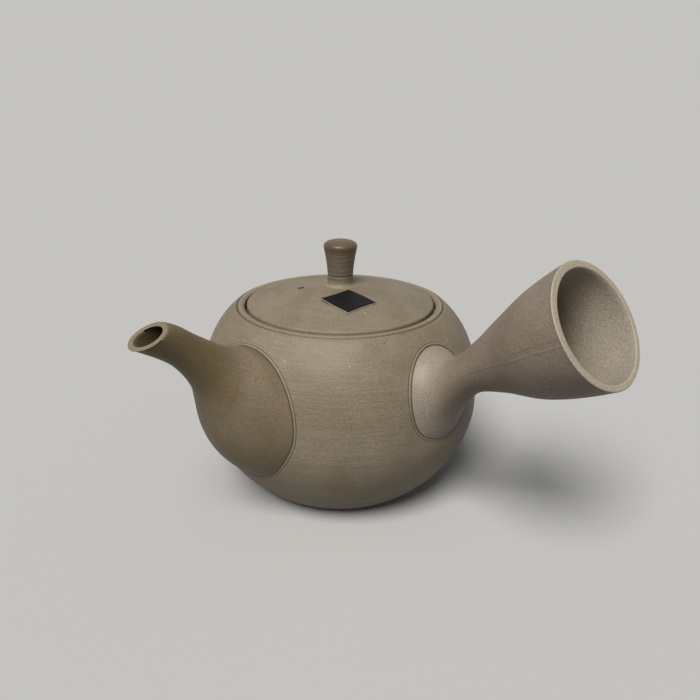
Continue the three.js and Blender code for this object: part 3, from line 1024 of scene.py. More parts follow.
@dataclass(frozen=True)
class Label:
    """The small paper label laid cornerwise on the lid, one corner lifted a little.

    Attributes:
        lid: The lid that it lies on.
        width: From its left corner to its right one.
        depth: From its near corner to its far one.
        thickness: Thickness of the paper.
        lift: Gap between the paper and the clay.
        offset: Distance of its middle from the axis.
        angle: Direction of its middle from the axis, in degrees.
        turn: How far it is turned from facing that way, in degrees.
        curl: How far its left corner is lifted.
        lying: Share of the way from its middle to that corner over which it lies flat.
        core: Share of the thickness below the bare upper edge.
        cells: Cells along each side.
    """

    lid: Lid
    width: float = 20.7
    depth: float = 18.2
    thickness: float = 0.3
    lift: float = 0.15
    offset: float = 17.1
    angle: float = 232.8
    turn: float = -12
    curl: float = 0.8
    # core: Share of the thickness below the bare upper edge, where the edge stays black as painted shade
    # under the paper.
    lying: float = 0.35
    core: float = 0.45
    cells: int = 48

    @property
    def middle(self) -> tuple[float, float]:
        """Where its middle lies on the lid."""
        turn = np.radians(self.angle)
        return self.offset * float(np.cos(turn)), self.offset * float(np.sin(turn))

    def surface(self) -> Surface:
        """Lays a square sheet on the dome, its left corner rising with the square of the way there.

        Returns:
            The closed surface, whose bare upper edge takes the second material.
        """
        step = np.linspace(0, 1, self.cells + 1)
        u, v = np.meshgrid(step, step, indexing="ij")
        front, left = (u + v - 1) * self.depth / 2, (v - u) * self.width / 2
        heading = np.radians(self.angle + self.turn)
        x = self.middle[0] + front * np.cos(heading) - left * np.sin(heading)
        y = self.middle[1] + front * np.sin(heading) + left * np.cos(heading)
        to_corner = np.clip((u - v - self.lying) / (1 - self.lying), 0, 1)
        base = self.lid.top(np.hypot(x, y)) + self.lift + self.curl * to_corner**2
        levels = (0, self.core * self.thickness, self.thickness)
        layers = [np.stack([x, y, base + level], axis=-1).reshape(-1, 3) for level in levels]
        side = self.cells + 1
        number = np.arange(side * side).reshape(side, side)
        cell = (number[:-1, :-1], number[1:, :-1], number[1:, 1:], number[:-1, 1:])
        cell = np.stack(cell, axis=-1).reshape(-1, 4)
        loop = np.concatenate([number[:-1, 0], number[-1, :-1], number[:0:-1, -1], number[0, :0:-1]])
        beside = np.roll(loop, -1)
        layer = side * side
        rim = np.column_stack([loop, beside, beside + layer, loop + layer])
        quads = np.vstack([cell + 2 * layer, cell[:, ::-1], rim, rim + layer])
        # The edge's lower band keeps the black face material, as painted shade under the paper's edge.
        second = np.repeat([False, True], [2 * len(cell) + len(rim), len(rim)])
        return Surface(np.vstack(layers), quads, second=second)


@dataclass(frozen=True)
class Strainer:
    """The pierced clay dome behind the spout: rings of cells, each with a round hole.

    Attributes:
        pot: The pot that it stands in.
        rim_radius: Radius of its rim.
        bulge: Height of its dome above the skirt.
        thickness: Thickness of the dome.
        skirt: Height of the skirt, which is let into the wall.
        hole_radius: Radius of each hole.
        pitch: Distance between rings of holes.
        sheet_radius: Radius of the pierced part.
        edge_ease: How far the skirt's edges are eased.
        circles: Corners on the circle round each ring of cells, a whole number for every cell.
    """

    pot: Pot
    rim_radius: float = 14.7
    bulge: float = 6.5
    thickness: float = 2
    skirt: float = 3
    hole_radius: float = 0.8
    pitch: float = 2.9
    sheet_radius: float = 12.6
    edge_ease: float = 0.4
    circles: tuple[int, ...] = (24, 24, 72, 144, 192)

    def surface(self) -> Surface:
        """Joins the cells of both faces, the holes' walls and the rim, welded where they meet.

        Returns:
            The closed surface, its crown towards the pot's axis.
        """
        flat, quads = [], []
        start = 0
        for edge, hole in self._cells():
            count = len(edge)
            i = start + np.arange(count)
            j = start + (np.arange(count) + 1) % count
            for height, turned in ((0, False), (2 * count, True)):
                face = np.column_stack([i, j, j + count, i + count]) + height
                quads.append(face[:, ::-1] if turned else face)
            quads.append(np.column_stack([i + count, j + count, j + 3 * count, i + 3 * count]))
            flat += [self._lift(edge, 0), self._lift(hole, 0), self._lift(edge, 1), self._lift(hole, 1)]
            start += 4 * count
        rim = self._rim()
        quads.append(ring_quads(len(rim), self.circles[-1])[:, ::-1] + start)
        points = np.vstack([*flat, rim.reshape(-1, 3)])
        kept, place = np.unique(np.round(points, 5), axis=0, return_inverse=True)
        x, y, z = kept.T
        base = self.pot.belly_radius - self.pot.wall + self.skirt / 2
        stood = np.column_stack([z - base, y, self.pot.pour_height - x])
        return Surface(stood, place.reshape(-1)[np.vstack(quads)])

    def _cells(self) -> Iterator[tuple[Points, Points]]:
        """Walks through the cells of the flat sheet, ring by ring.

        Yields:
            The outline of each cell and the circle of its hole, with matching corners.
        """
        borders = [(ring + 0.5) * self.pitch for ring in range(len(self.circles) - 1)] + [self.sheet_radius]
        for ring in range(len(self.circles)):
            cells = max(6 * ring, 1)
            turn = 2 * np.pi / cells
            for cell in range(cells):
                middle = cell * turn
                far = middle + turn * np.linspace(-0.5, 0.5, self.circles[ring] // cells + 1)
                outline = [self._polar(borders[ring], far)]
                if ring:
                    near = middle + turn * np.linspace(-0.5, 0.5, self.circles[ring - 1] // cells + 1)
                    halfway = np.array([(borders[ring - 1] + borders[ring]) / 2])
                    outline.append(self._polar(halfway, far[-1:]))
                    outline.append(self._polar(borders[ring - 1], near[::-1]))
                    outline.append(self._polar(halfway, far[:1]))
                else:
                    outline[0] = outline[0][:-1]
                edge = np.vstack(outline)
                centre = self._polar(np.array([ring * self.pitch]), np.array([middle]))
                away = edge - centre
                yield edge, centre + self.hole_radius * away / np.linalg.norm(away, axis=1, keepdims=True)

    @staticmethod
    def _polar(radius: float | Points, angle: Points) -> Points:
        """Returns points of the flat sheet from their distance and direction."""
        return np.column_stack([radius * np.cos(angle), radius * np.sin(angle)])

    def _lift(self, flat: Points, face: int) -> Points:
        """Lifts points onto a ball's cap: z = skirt + bulge - R + the root of (R squared - r squared).

        Args:
            flat: Points of the flat sheet, one row each.
            face: 0 for the dome's outer face and 1 for its inner one.

        Returns:
            The lifted points.
        """
        radius = self.rim_radius - face * self.thickness
        bulge = self.bulge - face * self.thickness / 2
        ball = (radius**2 + bulge**2) / (2 * bulge)
        out = np.minimum(np.linalg.norm(flat, axis=1), radius)
        return np.column_stack([flat, self.skirt + bulge - ball + np.sqrt(ball**2 - out**2)])

    def _rim(self) -> Points:
        """Makes the solid rim and skirt round the pierced sheet.

        Returns:
            Rows of corners from the sheet's outer face, round the rim, to its inner face.
        """
        count = self.circles[-1]
        half_cell = count // (12 * (len(self.circles) - 1))
        angle = 2 * np.pi * (np.arange(count) - half_cell) / count
        inner = self.rim_radius - self.thickness
        outs = np.linspace(self.sheet_radius, self.rim_radius, 5)
        rows = [self._lift(self._polar(out, angle), 0) for out in outs]
        ease = self.edge_ease
        corners = ((self.rim_radius, ease), (self.rim_radius - ease, 0), (inner + ease, 0), (inner, ease))
        for out, height in corners:
            rows.append(np.column_stack([self._polar(out, angle), np.full(count, height)]))
        rows += [self._lift(self._polar(out, angle), 1) for out in (inner, self.sheet_radius)]
        return np.stack(rows)


class Graph:
    """Short calls that add and join the nodes of a material or a node group."""

    def __init__(self, tree: bpy.types.NodeTree) -> None:
        """Keeps the tree that the calls add to."""
        self.tree = tree

    def add(
        self, kind: str, inputs: dict[str | int, object] | None = None, **settings: object
    ) -> bpy.types.Node:
        """Adds a node.

        Args:
            kind: The node's type name, without its ShaderNode.
            inputs: Sockets to link or values to set, by input.
            settings: The node's own settings.

        Returns:
            The node.
        """
        node = self.tree.nodes.new("ShaderNode" + kind)
        for name, value in settings.items():
            setattr(node, name, value)
        for name, value in (inputs or {}).items():
            if isinstance(value, bpy.types.NodeSocket):
                self.tree.links.new(value, node.inputs[name])
            else:
                node.inputs[name].default_value = value
        return node

    def math(self, operation: str, *values: object) -> bpy.types.NodeSocket:
        """Adds a Math node on sockets or numbers and returns its result."""
        return self.add("Math", dict(enumerate(values)), operation=operation).outputs[0]

    def ramp(
        self, value: object, low: float, high: float, start: float = 0, end: float = 1
    ) -> bpy.types.NodeSocket:
        """Maps a value smoothly from one range to another and returns the result."""
        inputs = {"Value": value, "From Min": low, "From Max": high, "To Min": start, "To Max": end}
        return self.add("MapRange", inputs, interpolation_type="SMOOTHSTEP").outputs["Result"]

    def blend(self, amount: object, first: object, second: object, mode: str = "MIX") -> bpy.types.NodeSocket:
        """Mixes two colours and returns the result."""
        node = self.add("Mix", {0: amount, 6: first, 7: second}, data_type="RGBA", blend_type=mode)
        return node.outputs[2]

    def scaled(self, colour: object, gain: object) -> bpy.types.NodeSocket:
        """Makes a colour lighter or darker by a factor and returns the result."""
        return self.add("VectorMath", {0: colour, "Scale": gain}, operation="SCALE").outputs[0]

    def mark(self, mark: Mark) -> bpy.types.NodeSocket:
        """Returns a value painted on the mesh."""
        return self.add("Attribute", attribute_name=mark.value).outputs["Fac"]

    def noise(
        self, vector: object, scale: object, detail: float = 2, roughness: float = 0.5
    ) -> bpy.types.NodeSocket:
        """Returns the value of a noise texture."""
        inputs = {"Vector": vector, "Scale": scale, "Detail": detail, "Roughness": roughness}
        return self.add("TexNoise", inputs).outputs["Fac"]


def new_group(
    name: str, inputs: dict[str, tuple[str, object]], outputs: dict[str, str]
) -> tuple[Graph, bpy.types.Node, bpy.types.Node]:
    """Starts a shader node group.

    Args:
        name: The group's name.
        inputs: Kind and default value of each input, by name.
        outputs: Kind of each output, by name.

    Returns:
        The group's graph and its input and output nodes.
    """
    tree = bpy.data.node_groups.new(name, "ShaderNodeTree")
    for label, (kind, value) in inputs.items():
        socket = tree.interface.new_socket(label, in_out="INPUT", socket_type="NodeSocket" + kind)
        if value is not None:
            socket.default_value = value
    for label, kind in outputs.items():
        tree.interface.new_socket(label, in_out="OUTPUT", socket_type="NodeSocket" + kind)
    return Graph(tree), tree.nodes.new("NodeGroupInput"), tree.nodes.new("NodeGroupOutput")


def rgba(colour: Colour) -> tuple[float, float, float, float]:
    """Turns a colour written in sRGB into a linear one with full alpha.

    Args:
        colour: Red, green and blue from 0 to 255.

    Returns:
        The linear colour.
    """
    share = np.array(colour) / 255
    linear = np.where(share <= 0.04045, share / 12.92, ((share + 0.055) / 1.055) ** 2.4)
    return (*(float(value) for value in linear), 1.0)


def grain_group() -> bpy.types.NodeTree:
    """Builds the fired grain: soft mottling, sandy speckle, and a few dark and pale specks.

    Returns:
        The node group.
    """
    inputs = {
        "Vector": ("Vector", None),
        "Tint": ("Color", (0.3, 0.25, 0.2, 1)),
        "Other Tint": ("Color", (0.25, 0.2, 0.15, 1)),
        "Speckle": ("Float", 0.1),
    }
    graph, source, sink = new_group("fired_grain", inputs, {"Color": "Color", "Height": "Float"})
    vector = source.outputs["Vector"]
    mottle_scale, sand_scale, fine_scale, speck_scale = 60.0, 1400.0, 2600.0, 260.0
    mottle = graph.ramp(graph.noise(vector, mottle_scale, 4, 0.6), 0.32, 0.68)
    colour = graph.blend(mottle, source.outputs["Tint"], source.outputs["Other Tint"])
    sand = graph.noise(vector, sand_scale, 2, 0.6)
    fine = graph.noise(vector, fine_scale, 1, 0.5)
    share = 0.62
    both = graph.math("ADD", graph.math("MULTIPLY", sand, share), graph.math("MULTIPLY", fine, 1 - share))
    bright = graph.math("MULTIPLY", graph.math("SUBTRACT", both, 0.5), source.outputs["Speckle"])
    gain = graph.math("ADD", graph.math("MULTIPLY", bright, 4), 1)
    colour = graph.scaled(colour, gain)
    cells = graph.add("TexVoronoi", {"Vector": vector, "Scale": speck_scale}, feature="F1")
    chosen = graph.add("SeparateColor", {0: cells.outputs["Color"]})
    near = graph.ramp(cells.outputs["Distance"], 0.16, 0.07)
    rare, rarer = 0.97, 0.975
    dark = graph.math("MULTIPLY", near, graph.math("GREATER_THAN", chosen.outputs[0], rare))
    pale = graph.math("MULTIPLY", near, graph.math("GREATER_THAN", chosen.outputs[1], rarer))
    colour = graph.blend(graph.math("MULTIPLY", dark, 0.55), colour, rgba((70, 58, 44)))
    colour = graph.blend(graph.math("MULTIPLY", pale, 0.4), colour, rgba((196, 186, 166)))
    graph.tree.links.new(colour, sink.inputs["Color"])
    height = graph.math("SUBTRACT", both, graph.math("MULTIPLY", dark, 0.3))
    graph.tree.links.new(height, sink.inputs["Height"])
    return graph.tree


def turning_group() -> bpy.types.NodeTree:
    """Builds the fine streaks that the wheel leaves: noise drawn out long, broken by a wide mask.

    Returns:
        The node group.
    """
    inputs = {"Vector": ("Vector", None), "Place": ("Float", 0.0), "Lines": ("Float", 2500.0)}
    graph, source, sink = new_group("turning_lines", inputs, {"Height": "Float"})
    vector = source.outputs["Vector"]
    axes = graph.add("SeparateXYZ", {0: vector})
    streaks = []
    for share, length in ((1.0, 0.05), (0.33, 0.03)):
        long = [graph.math("MULTIPLY", axes.outputs[axis], length) for axis in ("X", "Y")]
        drawn = graph.add("CombineXYZ", {0: long[0], 1: long[1], 2: source.outputs["Place"]}).outputs[0]
        count = graph.math("MULTIPLY", source.outputs["Lines"], share)
        streaks.append(graph.noise(drawn, count, 2, 0.6))
    fine, coarse = (graph.math("MULTIPLY", streak, part) for streak, part in zip(streaks, (0.6, 0.4)))
    centred = graph.math("SUBTRACT", graph.math("ADD", fine, coarse), 0.5)
    broken = graph.ramp(graph.noise(vector, 40, 3, 0.6), 0.3, 0.7, 0.35, 1)
    graph.tree.links.new(graph.math("MULTIPLY", centred, broken), sink.inputs["Height"])
    return graph.tree


class Lines(Enum):
    """Which way a piece's turning lines run."""

    LEVEL = "level"
    ROUND = "round"


@dataclass(frozen=True)
class Patch:
    """A stretch of a piece, found from a painted value, that takes another colour.

    Attributes:
        mark: The painted value.
        rises: The values where it begins and where it is full.
        tint: Its colour, in sRGB from 0 to 255.
        share: How much of the colour it takes where it is full.
        falls: The values where it starts to fade and where it is gone, if it ends.
        gloss: How much smoother it is there.
        depth: How deep it is pressed in there, in millimetres.
        gate: A second painted value that holds it back.
        opens: The values of that one where it lets the patch begin and where it lets all of it through.
    """

    mark: Mark
    rises: tuple[float, float]
    tint: Colour
    share: float = 1
    falls: tuple[float, float] | None = None
    gloss: float = 0
    depth: float = 0
    gate: Mark | None = None
    opens: tuple[float, float] = (0, 1)

    def amount(self, graph: Graph) -> bpy.types.NodeSocket:
        """Adds the nodes that work out how much of the patch shows.

        Args:
            graph: The graph of the material.

        Returns:
            The amount, from 0 to the patch's share.
        """
        value = graph.mark(self.mark)
        shown = graph.ramp(value, *self.rises, 0, self.share)
        if self.falls:
            shown = graph.math("MULTIPLY", shown, graph.ramp(value, *self.falls, 1, 0))
        if self.gate:
            shown = graph.math("MULTIPLY", shown, graph.ramp(graph.mark(self.gate), *self.opens))
        return shown


@dataclass(frozen=True)
class Clay:
    """The unglazed clay finish of one piece.

    Attributes:
        name: The material's name.
        tint: Its colour, in sRGB from 0 to 255.
        other_tint: The colour that it is mottled with.
        patches: Stretches of another colour, each over the ones before it.
        roughness: How matte it is.
        speckle: How strong its sandy speckle is.
        lines: Which way its turning lines run.
        line_count: Turning lines in a metre.
        line_strength: How strong they are.
        unevenness: How far its roughness strays from the middle value.
        grit_height: How high its sandy grit stands, in millimetres.
    """

    name: str
    tint: Colour
    other_tint: Colour
    patches: tuple[Patch, ...] = ()
    roughness: float = 0.56
    speckle: float = 0.3
    lines: Lines = Lines.LEVEL
    line_count: float = 2500
    line_strength: float = 1
    unevenness: float = 0.06
    grit_height: float = 0.18

    @property
    def streak_height(self) -> float:
        """How high the turning lines stand, in millimetres."""
        return 0.25 * self.line_strength

    def material(self, grain: bpy.types.NodeTree, turning: bpy.types.NodeTree) -> bpy.types.Material:
        """Builds the material.

        Args:
            grain: The fired grain group.
            turning: The turning lines group.

        Returns:
            The material.
        """
        made = bpy.data.materials.new(self.name)
        made.use_nodes = True
        made.node_tree.nodes.clear()
        graph = Graph(made.node_tree)
        vector = graph.add("TexCoord").outputs["Object"]
        place = self._place(graph, vector)
        tint, other = rgba(self.tint), rgba(self.other_tint)
        shown = [(patch, patch.amount(graph)) for patch in self.patches]
        for patch, amount in shown:
            tint = graph.blend(amount, tint, rgba(patch.tint))
            other = graph.blend(amount, other, rgba(patch.tint))
        tints = {"Vector": vector, "Tint": tint, "Other Tint": other, "Speckle": self.speckle}
        fired = graph.add("Group", tints, node_tree=grain)
        drawn = {"Vector": vector, "Place": place, "Lines": self.line_count}
        streak = graph.add("Group", drawn, node_tree=turning).outputs["Height"]
        gain = graph.math("ADD", graph.math("MULTIPLY", streak, self.line_strength), 1)
        colour = graph.scaled(fired.outputs["Color"], gain)
        grit = fired.outputs["Height"]
        low, high = self.roughness - self.unevenness, self.roughness + self.unevenness
        rough = graph.ramp(grit, 0.3, 0.7, low, high)
        sandy = graph.math("MULTIPLY", grit, self.grit_height * MM)
        height = graph.math("ADD", sandy, graph.math("MULTIPLY", streak, self.streak_height * MM))
        for patch, amount in shown:
            if patch.gloss:
                rough = graph.math("SUBTRACT", rough, graph.math("MULTIPLY", amount, patch.gloss))
            if patch.depth:
                height = graph.math("SUBTRACT", height, graph.math("MULTIPLY", amount, patch.depth * MM))
        bump = graph.add("Bump", {"Height": height, "Distance": 1.0, "Strength": 1.0})
        finish = {"Base Color": colour, "Roughness": rough, "Normal": bump.outputs[0]}
        shader = graph.add("BsdfPrincipled", finish)
        graph.tree.links.new(shader.outputs[0], graph.add("OutputMaterial").inputs[0])
        return made

    def _place(self, graph: Graph, vector: bpy.types.NodeSocket) -> bpy.types.NodeSocket:
        """Adds the nodes for the value that grows from one turning line to the next.

        Args:
            graph: The graph of the material.
            vector: The object's coordinates.

        Returns:
            The height, or for lines that run round the axis the distance from it.
        """
        axes = graph.add("SeparateXYZ", {0: vector})
        if self.lines is Lines.LEVEL:
            return axes.outputs["Z"]
        flat = graph.add("CombineXYZ", {0: axes.outputs["X"], 1: axes.outputs["Y"]}).outputs[0]
        return graph.add("VectorMath", {0: flat}, operation="LENGTH").outputs["Value"]


@dataclass(frozen=True)
class Paper:
    """The label's coated paper: a satin face with faint fibre, over a bare edge.

    Attributes:
        name: The material's name.
        tint: Its colour, in sRGB from 0 to 255.
        roughness: How matte it is.
        shine: How much it mirrors, as the shader's specular level.
        unevenness: How far its roughness strays from the middle value.
        fibre_scale: How fine its fibre is.
        fibre_height: How high the fibre stands, in millimetres.
    """

    name: str
    tint: Colour
    roughness: float
    shine: float = 0.2
    unevenness: float = 0.04
    fibre_scale: float = 900
    fibre_height: float = 0.02

    def material(self) -> bpy.types.Material:
        """Builds the material.

        Returns:
            The material.
        """
        made = bpy.data.materials.new(self.name)
        made.use_nodes = True
        made.node_tree.nodes.clear()
        graph = Graph(made.node_tree)
        vector = graph.add("TexCoord").outputs["Object"]
        fibre = graph.noise(vector, self.fibre_scale, 3, 0.6)
        gain = graph.ramp(fibre, 0.3, 0.7, 0.85, 1.15)
        base = graph.scaled(rgba(self.tint)[:3], gain)
        height = graph.math("MULTIPLY", fibre, self.fibre_height * MM)
        bump = graph.add("Bump", {"Height": height, "Distance": 1.0})
        low, high = self.roughness - self.unevenness, self.roughness + self.unevenness
        rough = graph.ramp(fibre, 0.3, 0.7, low, high)
        finish = {"Base Color": base, "Roughness": rough, "Normal": bump.outputs[0]}
        shader = graph.add("BsdfPrincipled", {**finish, "Specular IOR Level": self.shine})
        output = graph.add("OutputMaterial")
        graph.tree.links.new(shader.outputs[0], output.inputs[0])
        return made


@dataclass(frozen=True)
class Studio:
    """The camera at the photograph's angle, soft lamps and a plain pale floor.

    Attributes:
        heading: How far the photograph's own axes are turned from the part's, in degrees.
        eye: The camera's place in the photograph's axes, in millimetres.
        yaw: How far it looks to the right, in degrees.
        pitch: How far it looks down, in degrees.
        roll: How far it leans to the right, in degrees.
        lens: Its focal length.
        sensor: Width of its sensor.
    """

    heading: float = -47.6
    eye: tuple[float, float, float] = (0, -263.3, 160.0)
    yaw: float = 0.87
    pitch: float = 21.8
    roll: float = 0.5
    lens: float = 36
    sensor: float = 36

    def _turn(self, vector: Sequence[float]) -> Points:
        """Turns a direction or place from the photograph's axes into the part's.

        Args:
            vector: The direction or place.

        Returns:
            The same one in the part's axes.
        """
        angle = np.radians(self.heading)
        spin = np.array([[np.cos(angle), -np.sin(angle), 0], [np.sin(angle), np.cos(angle), 0], [0, 0, 1]])
        return spin @ np.asarray(vector, float)

    def camera(self) -> None:
        """Sets up the camera."""
        yaw, pitch, roll = np.radians([self.yaw, self.pitch, self.roll])
        forward = np.array([np.sin(yaw) * np.cos(pitch), np.cos(yaw) * np.cos(pitch), -np.sin(pitch)])
        right = np.array([np.cos(yaw), -np.sin(yaw), 0])
        up = np.cross(right, forward)
        across = np.cos(roll) * right + np.sin(roll) * up
        high = -np.sin(roll) * right + np.cos(roll) * up
        axes = [self._turn(vector) for vector in (across, high, -forward)]
        place = self._turn(self.eye) * MM
        data = bpy.data.cameras.new("camera")
        data.lens, data.sensor_width, data.sensor_fit = self.lens, self.sensor, "HORIZONTAL"
        data.clip_start = 0.01
        eye = bpy.data.objects.new("camera", data)
        rows = [[*(axis[row] for axis in axes), place[row]] for row in range(3)]
        eye.matrix_world = Matrix([*rows, [0, 0, 0, 1]])
        bpy.context.scene.collection.objects.link(eye)
        bpy.context.scene.camera = eye

    def sun(
        self, name: str, heading: float, height: float, softness: float, power: float, colour: Colour
    ) -> None:
        """Adds a soft distant lamp, like a big window far away.

        Args:
            name: The lamp's name.
            heading: The way to it, in degrees to the right of the camera.
            height: How high it stands, in degrees.
            softness: How wide it looks from the pot, in degrees.
            power: Its strength.
            colour: Its linear colour.
        """
        data = bpy.data.lights.new(name, "SUN")
        data.angle, data.energy, data.color = np.radians(softness), power, colour
        hung = bpy.data.objects.new(name, data)
        turn, rise = np.radians([heading, height])
        away = self._turn([np.sin(turn) * np.cos(rise), -np.cos(turn) * np.cos(rise), np.sin(rise)])
        side = np.cross([0, 0, 1], away)
        side /= np.linalg.norm(side)
        high = np.cross(away, side)
        rows = [[side[row], high[row], away[row], away[row]] for row in range(3)]
        hung.matrix_world = Matrix([*rows, [0, 0, 0, 1]])
        bpy.context.scene.collection.objects.link(hung)

    @staticmethod
    def _seen(graph: Graph) -> bpy.types.NodeSocket:
        """Adds the nodes that find the rays which show the background.

        Args:
            graph: The graph of a material or the world.

        Returns:
            1 for the camera's rays and for mirrored or refracted ones, otherwise 0.
        """
        rays = graph.add("LightPath").outputs
        passed_on = graph.math("MAXIMUM", rays["Is Glossy Ray"], rays["Is Transmission Ray"])
        return graph.math("MAXIMUM", rays["Is Camera Ray"], passed_on)

    def floor(self) -> None:
        """Adds the plain pale floor, which lights the pot only as a darker table would."""
        reach = 20.0
        mesh = bpy.data.meshes.new("floor")
        corners = [(-reach, -reach, 0), (reach, -reach, 0), (reach, reach, 0), (-reach, reach, 0)]
        mesh.from_pydata(corners, [], [(0, 1, 2, 3)])
        floor = bpy.data.objects.new("floor", mesh)
        paint = bpy.data.materials.new("floor_paint")
        paint.use_nodes = True
        paint.node_tree.nodes.clear()
        graph = Graph(paint.node_tree)
        seen = self._seen(graph)
        pale = graph.add("BsdfDiffuse", {"Color": rgba((200, 200, 198))}).outputs[0]
        dim = graph.add("BsdfDiffuse", {"Color": rgba((84, 85, 85))}).outputs[0]
        shown = graph.add("MixShader", {0: seen, 1: dim, 2: pale}).outputs[0]
        graph.tree.links.new(shown, graph.add("OutputMaterial").inputs[0])
        mesh.materials.append(paint)
        bpy.context.scene.collection.objects.link(floor)

    def world(self) -> None:
        """Sets a soft even sky, with a pale backdrop for what the camera sees directly."""
        world = bpy.data.worlds.new("studio")
        bpy.context.scene.world = world
        world.use_nodes = True
        world.node_tree.nodes.clear()
        graph = Graph(world.node_tree)
        sky, backdrop = (0.93, 0.96, 1.0, 1), (0.551, 0.546, 0.523, 1)
        soft = graph.add("Background", {"Color": sky, "Strength": 0.165})
        pale = graph.add("Background", {"Color": backdrop, "Strength": 1.0})
        seen = self._seen(graph)
        mixed = graph.add("MixShader", {0: seen, 1: soft.outputs[0], 2: pale.outputs[0]})
        output = graph.add("OutputWorld")
        graph.tree.links.new(mixed.outputs[0], output.inputs[0])

    def build(self) -> None:
        """Sets up the whole studio."""
        bpy.context.scene.view_settings.view_transform = "Standard"
        self.camera()
        self.floor()
        self.world()
        self.sun("key", heading=-20, height=52, softness=28, power=3.2, colour=(1.0, 0.98, 0.95))


SPOUT_STATIONS = (
    Station(-8, 6.5, 24.6, 25.1, 4.3),
    Station(-0.8, 11.9, 21.9, 20.3, 10.1),
    Station(4, 17.3, 17.8, 15.7, 16.2),
    Station(7.7, 23.9, 12.9, 11.3, 21.7),
    Station(11.9, 30.9, 9, 8.1, 22.5),
    Station(18.6, 38.2, 6.6, 6.3, 24.4),
    Station(24, 42.8, 6, 5.8, 40.3),
    Station(31.6, 47.3, 6.8, 6.1, 66.3),
)
HANDLE_STATIONS = (
    Station(-5.6, 17.2, 17.5, 18.2, 18.7),
    Station(-0.8, 16.2, 14.6, 12.2, 8),
    Station(5.2, 22.9, 10.5, 9.8, 3.4),
    Station(13.2, 31.9, 9.5, 9.8, 5.7),
    Station(23.5, 39.3, 12.6, 12.3, 15.6),
    Station(36.3, 46.6, 17.3, 17, 24.7),
    Station(51.6, 56.5, 19.8, 19.7, 33.9),
)

# Painted shade, for creases, grooves and the dark side of ridges.
SHADOW = (50, 38, 25)
CLAYS = (
    Clay(
        "body_clay", (138, 126, 107), (127, 113, 92),
        patches=(
            # Painted shade in the creases on both sides of each slip bead, which are also pressed in a
            # little, and in the collar's groove.
            Patch(Mark.SEAM, (0.3, 0.46), SHADOW, 0.6, falls=(0.56, 0.8), depth=0.12),
            Patch(Mark.SEAM, (-0.22, -0.36), SHADOW, 0.85, falls=(-1.6, -2.2), depth=0.15),
            Patch(Mark.GROOVE, (-0.45, -0.1), SHADOW, 0.6, falls=(0.15, 0.5)),
            # Painted highlight along the collar's crest.
            Patch(Mark.GROOVE, (-1.7, -1.2), (160, 149, 131), 0.5, falls=(-0.9, -0.45)),
        ),
        line_strength=0.75,
    ),
    Clay("bead_clay", (146, 134, 115), (134, 121, 101), line_strength=0.3),
    Clay(
        "spout_clay", (128, 114, 92), (114, 98, 72),
        patches=(
            # Painted shade: the neck is darker and more olive, as it looks in shade.
            Patch(Mark.ALONG, (0.3, 0.75), (108, 93, 60), 0.85),
            # Painted shade in the crease at the foot and inside the bore.
            Patch(Mark.FOOT, (0.35, 0.1), SHADOW, 0.7),
            Patch(Mark.INSIDE, (0, 1), (80, 68, 44)),
            Patch(Mark.LIP, (0.3, 1), (132, 119, 98)),
        ),
        line_strength=0.35,
    ),
    Clay(
        "handle_clay", (147, 133, 118), (136, 120, 104),
        patches=(
            # Painted highlight on the foot, which is also made smoother.
            Patch(Mark.ALONG, (0.42, 0.2), (156, 147, 132), 0.6, gloss=0.12),
            # Along the faint ridge: a painted highlight on its upper side, over a slight raised bump, painted
            # shade below it, and a fainter line of painted shade just above it nearer the mouth.
            Patch(
                Mark.PARTING, (-0.4, -0.1), (160, 149, 132), 0.35,
                falls=(0.0, 0.25), depth=-0.04, gate=Mark.ALONG, opens=(0.44, 0.58),
            ),
            Patch(
                Mark.PARTING, (0.15, 0.4), SHADOW, 0.22,
                falls=(0.5, 0.9), gate=Mark.ALONG, opens=(0.44, 0.58),
            ),
            Patch(
                Mark.PARTING, (-2.2, -1.9), SHADOW, 0.14,
                falls=(-1.7, -1.3), gate=Mark.ALONG, opens=(0.72, 0.82),
            ),
            # Painted shade in the crease at the foot.
            Patch(Mark.FOOT, (0.35, 0.1), SHADOW, 0.7),
            # Inside the mouth: a painted sheen, also made smoother, and painted shade deeper in.
            Patch(Mark.INSIDE, (0, 1), (164, 154, 138), gloss=0.14),
            Patch(Mark.INSIDE, (0, 1), (70, 57, 42), gate=Mark.ALONG, opens=(0.96, 0.72)),
            Patch(Mark.LIP, (0.3, 1), (174, 163, 142)),
        ),
        line_strength=0.35,
    ),
    Clay(
        "lid_clay", (137, 125, 106), (126, 112, 91),
        # Painted shade on the vent's wall and round its edge.
        patches=(Patch(Mark.VENT, (0.2, 0.02), (26, 20, 13), 0.95),),
        lines=Lines.ROUND,
        line_strength=0.65,
    ),
    Clay(
        "knob_clay", (116, 105, 91), (104, 91, 75),
        patches=(
            Patch(Mark.RISE, (3.2, 1.4), (140, 128, 110)),
            # Painted shade in the band under the rim.
            Patch(Mark.RISE, (12.8, 14.4), (88, 70, 50), 0.7),
            Patch(Mark.RISE, (14.9, 15.5), (96, 74, 54), gloss=0.2),
        ),
        line_count=1300,
        line_strength=0.5,
    ),
)
PAPERS = (Paper("label_black", (16, 16, 17), 0.55), Paper("label_core", (220, 214, 202), 0.8))


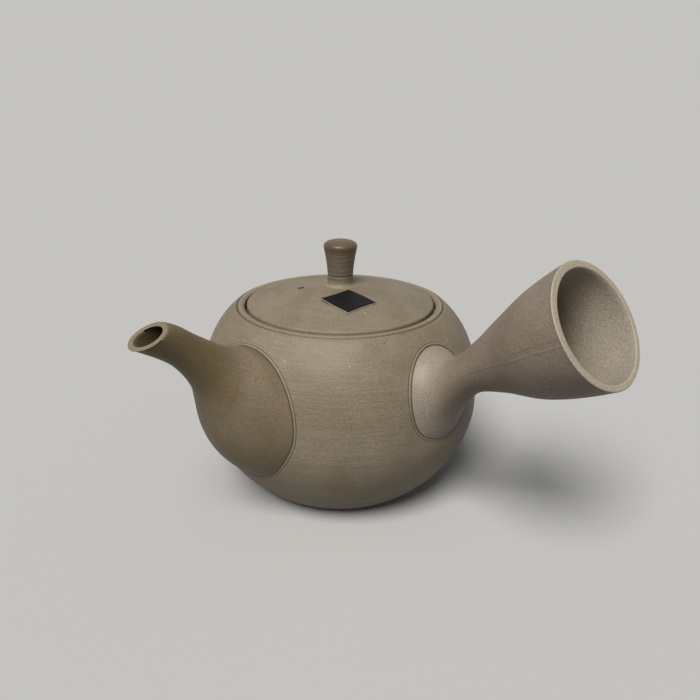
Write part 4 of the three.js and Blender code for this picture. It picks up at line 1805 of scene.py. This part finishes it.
@dataclass
class Teapot:
    """The whole teapot: its pieces, its finishes and which body each piece rides on.

    Attributes:
        pot: The pot that everything else is fitted to.
    """

    pot: Pot = field(default_factory=Pot)

    def _seam_marks(self, surface: Surface, beads: Sequence[SlipBead]) -> None:
        """Paints the pot with its signed distance from the middle of the nearest slip bead.

        Args:
            surface: The pot's surface.
            beads: The beads round its luted feet.
        """
        nearest = np.full(len(surface.points), FAR)
        batch = 4000
        for bead in beads:
            middle, away = bead.middle()
            for start in range(0, len(surface.points), batch):
                part = slice(start, start + batch)
                gap = surface.points[part, None] - middle[None]
                square = np.einsum("ijk,ijk->ij", gap, gap)
                closest = square.argmin(axis=1)
                row = np.arange(len(closest))
                side = np.sign(np.einsum("ij,ij->i", gap[row, closest], away[closest]))
                signed = side * np.sqrt(square[row, closest])
                better = np.abs(signed) < np.abs(nearest[part])
                nearest[part] = np.where(better, signed, nearest[part])
        surface.marks[Mark.SEAM] = nearest

    def build(self) -> None:
        """Builds and dresses every piece."""
        grain, turning = grain_group(), turning_group()
        clays = {clay.name: clay.material(grain, turning) for clay in CLAYS}
        spout = Tube(self.pot, angle=180, wall=1.8, stations=SPOUT_STATIONS, lip_rounding=0.4)
        handle = Tube(self.pot, angle=265.5, wall=2.3, stations=HANDLE_STATIONS, uneven=0.3)
        beads = [SlipBead(spout), SlipBead(handle)]
        shell = self.pot.surface()
        self._seam_marks(shell, beads)
        body, bead_clay = [clays["body_clay"]], [clays["bead_clay"]]
        add_piece("thrown_pot", shell, Body.POT, body, "pot_body")
        add_piece("pouring_spout", spout.surface(), Body.POT, [clays["spout_clay"]], "spout")
        add_piece("side_handle", handle.surface(), Body.POT, [clays["handle_clay"]], "handle")
        for name, bead in zip(("spout_bead", "handle_bead"), beads):
            add_piece(name, bead.surface(), Body.POT, bead_clay)
        add_piece("sieve_dome", Strainer(self.pot).surface(), Body.POT, bead_clay, "strainer")
        lid = Lid(self.pot)
        add_piece("domed_lid", lid.surface(), Body.LID, [clays["lid_clay"]], "lid")
        add_piece("turned_knob", Knob(lid).surface(), Body.LID, [clays["knob_clay"]], "lid_knob")
        faces = [paper.material() for paper in PAPERS]
        add_piece("paper_label", Label(lid).surface(), Body.LID, faces, "label")


def main() -> None:
    """Builds the teapot and its studio."""
    logging.basicConfig(level=logging.INFO, format="%(name)s: %(message)s")
    Studio().build()
    Teapot().build()


if __name__ == "__main__":
    main()
